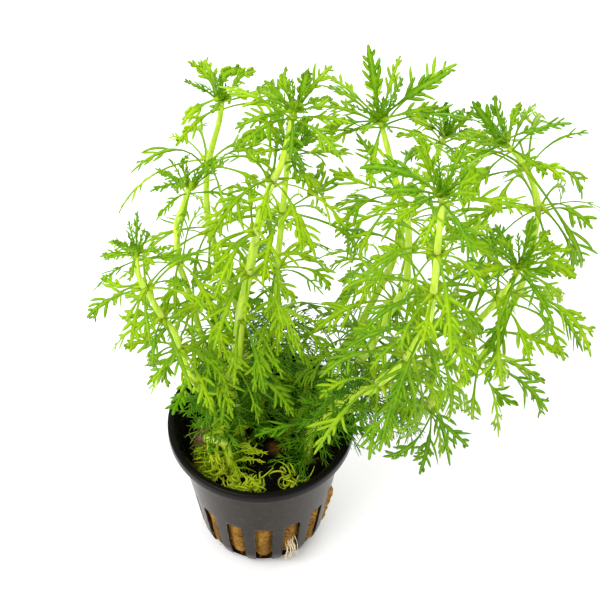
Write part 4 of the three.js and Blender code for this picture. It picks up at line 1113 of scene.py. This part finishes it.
for whorl in whorls:
    stem, age, number, name = whorl["stem"], whorl["age"], whorl["number"], whorl["name"]
    crown = age == 0
    mesh = Mesh()
    sunk = whorl["place"]["offset"] - stem_radius(stem, whorl["arc"]) + LEAF_ROOT
    # Painted light and shade, added to each leaf's tone: lighter on the left stems and upper whorls, darker
    # on the right and lower down.
    shade = LEFT_PAINTED_LIGHT.get(stem["name"], RIGHT_PAINTED_SHADE) + PAINTED_LIGHT_BY_AGE[min(age, len(PAINTED_LIGHT_BY_AGE) - 1)]
    tip_kind = "small" if stem["name"] in SLENDER else "crown"
    for k, slot in enumerate(whorl["slots"]):
        if slot["leaf"]:
            kind = "rich" if slot["leaf"]["length"] > RICH_LENGTH else "stem"
            if crown:
                broad = tip_kind == "crown" and vary(31 * number + 7 * k) > 0.1
                kind = "broad" if broad else tip_kind
            dress_leaf(mesh, slot["leaf"], kind, f"{name}{k}", sunk=sunk, tone=shade)
    for k, leaf in found(extra_leaves(whorl)):
        kind = tip_kind if crown else ("thin", "stem", "stem")[(k + number + age) % 3]
        dress_leaf(mesh, leaf, kind, f"{name}extra{k}", foot_half=0.55, sunk=sunk, tone=shade)
    if crown:
        place = dict(whorl["place"], offset=0.6, lift=0.5)
        for k, leaf in found(collar_leaves(whorl)):
            dress_leaf(mesh, leaf, tip_kind, f"{name}collar{k}", foot_half=0.45, sunk=0.9, tone=shade)
        for k in range(YOUNG_LEAVES.get(stem["name"], USUAL_YOUNG)):
            seed = 59 * number + 11 * k
            young = leaf_shape(place, YOUNG_TURN * k, 5.6 + 0.28 * k + 2.4 * vary(seed),
                               math.radians(8 + 5.5 * k + 12 * vary(seed + 1)),
                               math.radians(30 * vary(seed + 2)))
            dress_leaf(mesh, young, "young", f"{name}young{k}", foot_half=0.3, sunk=0.6, tone=YOUNG_SHADE)
    node = f"crown_{stem['name']}" if crown else f"whorl_{name}"
    settle(mesh.make(f"{node}_leaves", young_green if crown else leaf_green), "leaf", node)

# Low leaves: dense, finely cut foliage about the mouth of the pot

LOW_STEP = 4.5
LOW_TOP = 52.0
FINE_LEAVES = 5
FREE_LEFT = -21.5
CURLY_ARCS = (11.5, 14, 17, 20, 23, 26, 29)


def fine_leaves(number, stem, first, length):
    """Small finely cut leaves up the foot of a stem, clear of the pot."""
    top = min(LOW_TOP, stem["length"] - 4)
    for row, arc in enumerate(np.arange(first, top, LOW_STEP)):
        for k in range(FINE_LEAVES):
            plan = scattered_plan(7000 + 210 * number + 37 * row + 6 * k + int(length),
                                  turn=(2 * math.pi / FINE_LEAVES * k + 0.8 * row, 25),
                                  length=(length, 1, 0.26), tilt=(58, 22), arch=24,
                                  droop=(0.3, 0.3), twist=30)
            leaf = grow_leaf(leaf_place(stem, arc, 0.4), plan, stem["name"],
                             f"{stem['name']}_fine_{row}_{first}", radius=0.22, foot_radius=0.5)
            if leaf and leaf["ribs"][-1][0] > FREE_LEFT:
                yield leaf


for number, stem in enumerate(STEMS):
    if stem["name"] == "old":
        continue
    mesh = Mesh()
    for k, leaf in enumerate(low_leaves[stem["name"]]):
        dress_leaf(mesh, leaf, "stem", f"{stem['name']}low{k}", foot_half=0.6, sunk=0.2, tone=-0.2)
    for first, length in ((12.5, 13.5), (14.5, 9.5)):
        for k, leaf in found(fine_leaves(number, stem, first, length)):
            dress_leaf(mesh, leaf, "fine", f"{stem['name']}fine{k}{first}", foot_half=0.4, sunk=0.2)
    settle(mesh.make(f"low_leaves_{stem['name']}", low_green), "leaf", f"stem_{stem['name']}")

old_stem = STEMS[-1]
mesh = Mesh()
for k, leaf in enumerate(low_leaves["old"]):
    dress_leaf(mesh, leaf, "curly", f"oldlow{k}", foot_half=0.4, sunk=0.2)
for row, arc in enumerate(CURLY_ARCS):
    place = leaf_place(old_stem, arc, 0.6)
    for k in range(6):
        seed = 9000 + 50 * row + 5 * k
        shape = leaf_shape(place, math.pi / 3 * k + row, 10 + 3 * vary(seed),
                           math.radians(60 + 20 * vary(seed + 1)), math.radians(60), 0.4,
                           math.radians(70 * vary(seed + 2)))
        if not any(hits_pot(point, 0.3) for point in shape["ribs"][2:]):
            dress_leaf(mesh, shape, "curly", f"curly{row}{k}", foot_half=0.3, sunk=0.4, curl=0.08)
settle(mesh.make("low_leaves_old", curly_green), "leaf", "stem_old")

# Pot


def turned(profile, sides):
    """A solid of revolution from a profile of (radius, height), with the first and last on the axis."""
    corners, rows = [], []
    turns = np.arange(sides) * 2 * math.pi / sides + math.radians(SLOT_FIRST_TURN)
    for radius, height in profile:
        if radius < 1e-6:
            rows.append([len(corners)])
            corners.append((0, 0, height))
        else:
            rows.append(list(range(len(corners), len(corners) + sides)))
            corners += [(radius * math.cos(t), radius * math.sin(t), height) for t in turns]
    faces = []
    for low, high in zip(rows, rows[1:]):
        for k in range(sides):
            n = (k + 1) % sides
            if len(low) == 1:
                faces.append((low[0], high[k], high[n]))
            elif len(high) == 1:
                faces.append((low[k], high[0], low[n]))
            else:
                faces.append((low[k], high[k], high[n], low[n]))
    return np.array(corners), faces


def plain_mesh(name, corners, faces):
    data = bpy.data.meshes.new(name)
    data.from_pydata((np.asarray(corners) * MM).tolist(), [], faces)
    return show(name, data)


def rounded(a, b, c, size, steps=3):
    """Points of a rounded corner b between a and c."""
    a, b, c = (np.array(p, float) for p in (a, b, c))
    start = b + unit(a - b) * size
    end = b + unit(c - b) * size
    return [tuple(start * (1 - u) ** 2 + b * 2 * u * (1 - u) + end * u * u)
            for u in np.linspace(0, 1, steps + 1)]


neck = POT_HEIGHT - POT_LIP_HEIGHT
EDGE_ROUND = 0.18
BODY_ROWS = (8, 10, 13, 16, 19, 22, 23.5, 24.6, 26, 30, 36, 41)
outline = [(0, 0.45), (9.5, 0.45), (10.2, 0), (POT_BASE_RADIUS, 0), (POT_BEVEL_RADIUS, POT_BEVEL_HEIGHT),
           (POT_HEEL_RADIUS, POT_HEEL_HEIGHT), (POT_NECK_RADIUS - 0.25, neck - 2.2), (POT_NECK_RADIUS, neck),
           (POT_RIM_RADIUS, neck), (POT_RIM_RADIUS, POT_HEIGHT), (POT_RIM_RADIUS - POT_RIM_WIDTH, POT_HEIGHT),
           (POT_NECK_RADIUS - POT_WALL, neck - POT_THROAT_DROP),
           (POT_HEEL_RADIUS - POT_WALL, POT_HEEL_HEIGHT), (POT_BASE_RADIUS, POT_FLOOR), (0, POT_FLOOR)]
sizes = {4: 0.8, 5: 1.2, 7: 0.3, 8: 0.4, 9: 0.8, 10: 0.6, 11: 0.7, 12: 0.8, 13: 0.6}
profile = []
for i, point in enumerate(outline):
    if i in sizes:
        profile += rounded(outline[i - 1], point, outline[i + 1], sizes[i])
    else:
        profile.append(point)
    if i in (5, 11):
        (r0, z0), (r1, z1) = profile[-1], outline[i + 1]
        rows = BODY_ROWS if i == 5 else tuple(reversed(BODY_ROWS))
        profile += [(r0 + (r1 - r0) * (z - z0) / (z1 - z0), z) for z in rows]
corners, faces = turned(profile, 180)
faces = [tuple(reversed(face)) for face in faces]
pot = plain_mesh("net_pot_shell", corners, faces)
cutter_corners, cutter_faces = [], []
for i in range(SLOT_COUNT):
    turn = math.radians(SLOT_FIRST_TURN + SLOT_PITCH * i)
    out = np.array([math.cos(turn), math.sin(turn), 0])
    side = np.array([-math.sin(turn), math.cos(turn), 0])
    half = SLOT_WIDTH / 2
    ends = ((-half, SLOT_BOTTOM), (half, SLOT_BOTTOM), (half, SLOT_TOP - 0.8),
            (half - 0.25, SLOT_TOP - 0.25), (half - 0.8, SLOT_TOP), (0.8 - half, SLOT_TOP),
            (0.25 - half, SLOT_TOP - 0.25), (-half, SLOT_TOP - 0.8))
    base = len(cutter_corners)
    for radius in (SLOT_INNER_RADIUS, POT_RIM_RADIUS + 2):
        cutter_corners += [out * radius + side * a + np.array([0, 0, z]) for a, z in ends]
    n = len(ends)
    cutter_faces.append(tuple(base + k for k in reversed(range(n))))
    cutter_faces.append(tuple(base + n + k for k in range(n)))
    for k in range(n):
        m = (k + 1) % n
        cutter_faces.append((base + k, base + m, base + n + m, base + n + k))
cutter = plain_mesh("slot_cutter", cutter_corners, cutter_faces)
cut = pot.modifiers.new("slots", "BOOLEAN")
cut.operation = "DIFFERENCE"
cut.solver = "EXACT"
cut.object = cutter
edge = pot.modifiers.new("edges", "BEVEL")
edge.width = EDGE_ROUND * MM
edge.segments = 2
edge.limit_method = "ANGLE"
edge.angle_limit = math.radians(50)
edge.harden_normals = True
graph = bpy.context.evaluated_depsgraph_get()
pot_data = bpy.data.meshes.new_from_object(pot.evaluated_get(graph))
pot.modifiers.clear()
pot.data = pot_data
bpy.data.objects.remove(cutter)
pot_data.materials.clear()
pot_data.materials.append(plastic)
pot_data.polygons.foreach_set("use_smooth", [True] * len(pot_data.polygons))
pot_data.set_sharp_from_angle(angle=math.radians(40))
settle(pot, "pot_plastic", "net_pot")


# Rock wool

SLOT_FIBRES = 34
TOP_FIBRES = 420
# Patches of the top left without the painted shade, where the wool's own brown shows: strength, place and
# squared size
UNSHADED_PATCHES = ((1, -18.2, -8.4, 9), (0.6, 4, -1.6, 6))


def lumps(points, scale, seed):
    """Smooth lumpy noise from -1 to 1 at points, as sums of waves in fixed directions."""
    rng = np.random.default_rng(seed)
    total = np.zeros(len(points))
    for octave in range(4):
        for _ in range(5):
            way = rng.normal(size=3)
            way /= np.linalg.norm(way)
            total += np.sin(points @ way * scale * 2 ** octave + rng.uniform(0, 6.28)) / 2 ** octave
    return total / 5


def body_radius(height):
    rise = (height - POT_HEEL_HEIGHT) / (neck - POT_HEEL_HEIGHT)
    return POT_HEEL_RADIUS + (POT_NECK_RADIUS - POT_HEEL_RADIUS) * rise


clear = POT_WALL + WOOL_GAP
edge_height = WOOL_TOP - WOOL_EDGE_DROP
edge_radius = body_radius(edge_height) - clear
wool_line = [(0, POT_FLOOR + 0.25), (POT_BASE_RADIUS - 0.6, POT_FLOOR + 0.25),
             (POT_HEEL_RADIUS - clear, POT_HEEL_HEIGHT + 0.3), (edge_radius, edge_height),
             (edge_radius - 2.5, WOOL_TOP), (0, WOOL_TOP)]
fine_line = []
for (r0, z0), (r1, z1) in zip(wool_line, wool_line[1:]):
    steps = max(int(math.hypot(r1 - r0, z1 - z0) / 0.7), 1)
    fine_line += [(r0 + (r1 - r0) * k / steps, z0 + (z1 - z0) * k / steps) for k in range(steps)]
fine_line.append(wool_line[-1])
corners, faces = turned(fine_line, 210)
faces = [tuple(reversed(face)) for face in faces]
radius = np.hypot(corners[:, 0], corners[:, 1])
turn = np.degrees(np.arctan2(corners[:, 1], corners[:, 0])) - SLOT_FIRST_TURN
off = np.abs((turn + SLOT_PITCH / 2) % SLOT_PITCH - SLOT_PITCH / 2)
in_slot = np.clip(1 - off * np.pi / 180 * radius / (SLOT_WIDTH / 2 - 0.5), 0, 1)
in_slot = np.where((corners[:, 2] < SLOT_TOP - 0.5) & (corners[:, 2] > SLOT_BOTTOM + 0.4) & (radius > 14.5),
                   in_slot ** 0.5, 0)
out = np.where(radius > 1e-6, 1 / np.maximum(radius, 1e-6), 0)[:, None] * corners * (1, 1, 0)
rough = lumps(corners, 0.9, 5)
right_side = np.clip((corners[:, 0] - 10) / 10, 0, 1) * np.clip(1 - corners[:, 1] / 12, 0, 1)
bulge = in_slot * (1.25 + 0.5 * rough + 0.9 * right_side) + np.where(in_slot == 0, -0.12 * np.abs(rough), 0)
bulge = np.where(radius < 1e-6, 0, bulge)
up = np.where(corners[:, 2] > WOOL_TOP - 2.5, 0.5 * lumps(corners, 0.45, 8) - 0.35, 0)
up = np.where(radius < edge_radius - 0.4, up, 0)
corners = corners + out * bulge[:, None]
corners[:, 2] += up
mesh = Mesh()
patchy = 1.12 - 0.5 * np.clip(lumps(corners, 0.3, 12) - 0.35, 0, 1)
# Painted shade: the wool darker from the slot tops upwards and nearly black over the top inside the mouth, in
# patches.
painted_shade = np.clip((corners[:, 2] - SLOT_TOP) / 6, 0, 1) * patchy
unshaded = 0
for strength, x, y, spread in UNSHADED_PATCHES:
    unshaded = unshaded + strength * np.exp(-((corners[:, 0] - x) ** 2 + (corners[:, 1] - y) ** 2) / spread)
painted_shade = painted_shade - 1.1 * unshaded
mesh.take(corners, faces, 0, np.clip(painted_shade, 0, 1), 0)
wool_rng = random.Random(41)


def fibre(mesh, start, way, length, thick, bend, painted_shade=0.0, tone=0.0, steps=6, most_radius=None):
    """One fine strand that curls as it goes, and turns back where it comes to the wall of the mouth."""
    way = unit(np.array(way, float))
    points = [np.array(start, float)]
    spin = np.array([wool_rng.uniform(-1, 1) for _ in range(3)])
    for _ in range(steps):
        way = unit(way + np.cross(spin, way) * bend)
        point = points[-1] + way * length / steps
        radius = math.hypot(point[0], point[1])
        if most_radius and radius > most_radius:
            point[:2] *= most_radius / radius
        points.append(point)
    radii = thick * np.clip(1.25 - np.linspace(0, 1, steps + 1) ** 2, 0.3, 1)
    tube(mesh, points, radii, 4, core=painted_shade, tone=tone)


for i in range(SLOT_COUNT):
    base = math.radians(SLOT_FIRST_TURN + SLOT_PITCH * i)
    for _ in range(SLOT_FIBRES):
        height = wool_rng.uniform(3.5, SLOT_TOP - 1.5)
        rad = 17.4
        if height > POT_HEEL_HEIGHT:
            rad = POT_HEEL_RADIUS - 1.0 + (body_radius(height) - POT_HEEL_RADIUS)
        angle = base + wool_rng.uniform(-1, 1) * (SLOT_WIDTH / 2 - 0.9) / rad
        spot = (rad * math.cos(angle), rad * math.sin(angle), height)
        lie = wool_rng.uniform(-1, 1)
        way = (-math.sin(angle) * lie, math.cos(angle) * lie, wool_rng.uniform(-0.9, 0.9))
        fibre(mesh, spot, way, wool_rng.uniform(1.2, 2.6), 0.09, 0.35)
# The fibres on the top take painted shade in random amounts.
for _ in range(TOP_FIBRES):
    rad = math.sqrt(wool_rng.uniform(0, 1)) * 20.5
    angle = wool_rng.uniform(0, 2 * math.pi)
    spot = (rad * math.cos(angle), rad * math.sin(angle), WOOL_TOP - 0.7)
    fibre(mesh, spot, (wool_rng.uniform(-1, 1), wool_rng.uniform(-1, 1), wool_rng.uniform(0.1, 0.7)),
          wool_rng.uniform(1.5, 4.0), 0.1, 0.4, wool_rng.choice((0.2, 0.8, 0.95, 1.0)))
settle(mesh.make("rock_wool_fibres", wool_brown), "rock_wool", "rock_wool")

# Dry wisps at the broken end of the old stem
mesh = Mesh()
broken = stem_frame(old_stem, old_stem["length"] - 1.0)
for _ in range(16):
    way = broken["axis"] + [wool_rng.uniform(-1.2, 1.2) for _ in range(3)] + np.array([0, 0, -0.3])
    fibre(mesh, broken["point"], way, wool_rng.uniform(3.5, 7.5), 0.2, 0.55, tone=2.0)
settle(mesh.make("dry_wisps", stem_green), "stem")

# Curling threads of the oldest leaves, in tufts about the front of the mouth
CURL_TUFTS = ((-16, -9.5, 44, 14), (-11, -14, 45, 24), (-6, -20, 45, 26), (-1, -20.5, 46, 24),
              (9.5, -16, 44, 20))
MOUTH_ROOM = 22.8
mesh = Mesh()
for x, y, z, count in CURL_TUFTS:
    for _ in range(count):
        way = (wool_rng.uniform(-1, 1), wool_rng.uniform(-1, 0.6), wool_rng.uniform(-0.1, 1))
        spot = (x + wool_rng.uniform(-2, 2), y + wool_rng.uniform(-2, 2), z - wool_rng.uniform(0, 3))
        spot = np.array(spot)
        spot[:2] *= min(1, MOUTH_ROOM / math.hypot(spot[0], spot[1]))
        fibre(mesh, spot, way, wool_rng.uniform(5, 10), 0.3, wool_rng.uniform(0.25, 0.6),
              tone=wool_rng.uniform(-1, 1), steps=12, most_radius=MOUTH_ROOM)
settle(mesh.make("curling_threads", curly_green), "leaf")

# Roots that hang out of one slot
ROOTS = 13
ROOT_STEPS = 12
mesh = Mesh()
root_turn = math.radians(SLOT_FIRST_TURN + SLOT_PITCH)
for k in range(ROOTS):
    spread = wool_rng.uniform(-1.7, 1.7)
    start_height = wool_rng.uniform(9, 17)
    points = []
    for step in range(ROOT_STEPS + 1):
        share = step / ROOT_STEPS
        height = start_height * (1 - share) + 0.5 * share
        wall = body_radius(max(height, POT_HEEL_HEIGHT)) if height > POT_HEEL_HEIGHT else \
            POT_HEEL_RADIUS - (POT_HEEL_HEIGHT - height) * 0.55
        rad = wall - 0.7 + 1.6 * min(share * 4, 1) + 0.5 * math.sin(share * 6 + k) + 0.9 * share
        angle = root_turn + (spread * (0.6 + 0.8 * share) + 0.7 * math.sin(share * 5 + 1.7 * k)) / rad
        points.append((rad * math.cos(angle), rad * math.sin(angle), height))
    tube(mesh, points, [0.12 * (1 - 0.5 * s / ROOT_STEPS) for s in range(ROOT_STEPS + 1)], 7)
settle(mesh.make("fine_roots", root_white), "stem")

# Stage: floor, light and camera, in metres

FLOOR = 3.0
PLANT_MIDDLE = np.array((0.02, 0.0, 0.09))
CAMERA_PLACE = (0.0115, -0.351, 0.523)
CAMERA_TILT = 40
CAMERA_SENSOR = 36
CAMERA_LENS = 120

floor_finish = Finish("studio_floor")
grain = floor_finish.ramp(floor_finish.noise(40, 2), (0.3, (0.93, 0.93, 0.93)), (0.7, (0.95, 0.95, 0.95)))
floor_finish.shade(Base_Color=grain, Roughness=0.9, Specular_IOR_Level=0.1)
floor_data = bpy.data.meshes.new("studio_floor")
floor_corners = [(FLOOR * x, FLOOR * y, 0) for x, y in ((-1, -1), (1, -1), (1, 1), (-1, 1))]
floor_data.from_pydata(floor_corners, [], [(0, 1, 2, 3)])
floor_data.materials.append(floor_finish.material)
show("studio_floor", floor_data)

world = bpy.data.worlds.new("studio")
world.use_nodes = True
background = world.node_tree.nodes["Background"]
background.inputs["Color"].default_value = (1, 1, 1, 1)
background.inputs["Strength"].default_value = 1.1
bpy.context.scene.world = world


def area_light(name, place, size, power):
    """A soft round light at a place, in metres, that faces the plant."""
    data = bpy.data.lights.new(name, "AREA")
    data.shape = "DISK"
    data.size = size
    data.energy = power
    light = show(name, data)
    light.location = place
    way = PLANT_MIDDLE - np.array(place)
    tilt = math.acos(-way[2] / np.linalg.norm(way))
    light.rotation_euler = (tilt, 0, math.atan2(way[0], -way[1]) + math.pi)


area_light("key", (-0.5, -0.35, 0.95), size=0.8, power=7)
area_light("back", (0.45, 0.7, 0.7), size=1.0, power=5.5)

camera_data = bpy.data.cameras.new("camera")
camera_data.sensor_width = CAMERA_SENSOR
camera_data.lens = CAMERA_LENS
camera = show("camera", camera_data)
camera.location = CAMERA_PLACE
camera.rotation_euler = (math.radians(CAMERA_TILT), 0, 0)
bpy.context.scene.camera = camera
bpy.context.scene.view_settings.view_transform = "Standard"
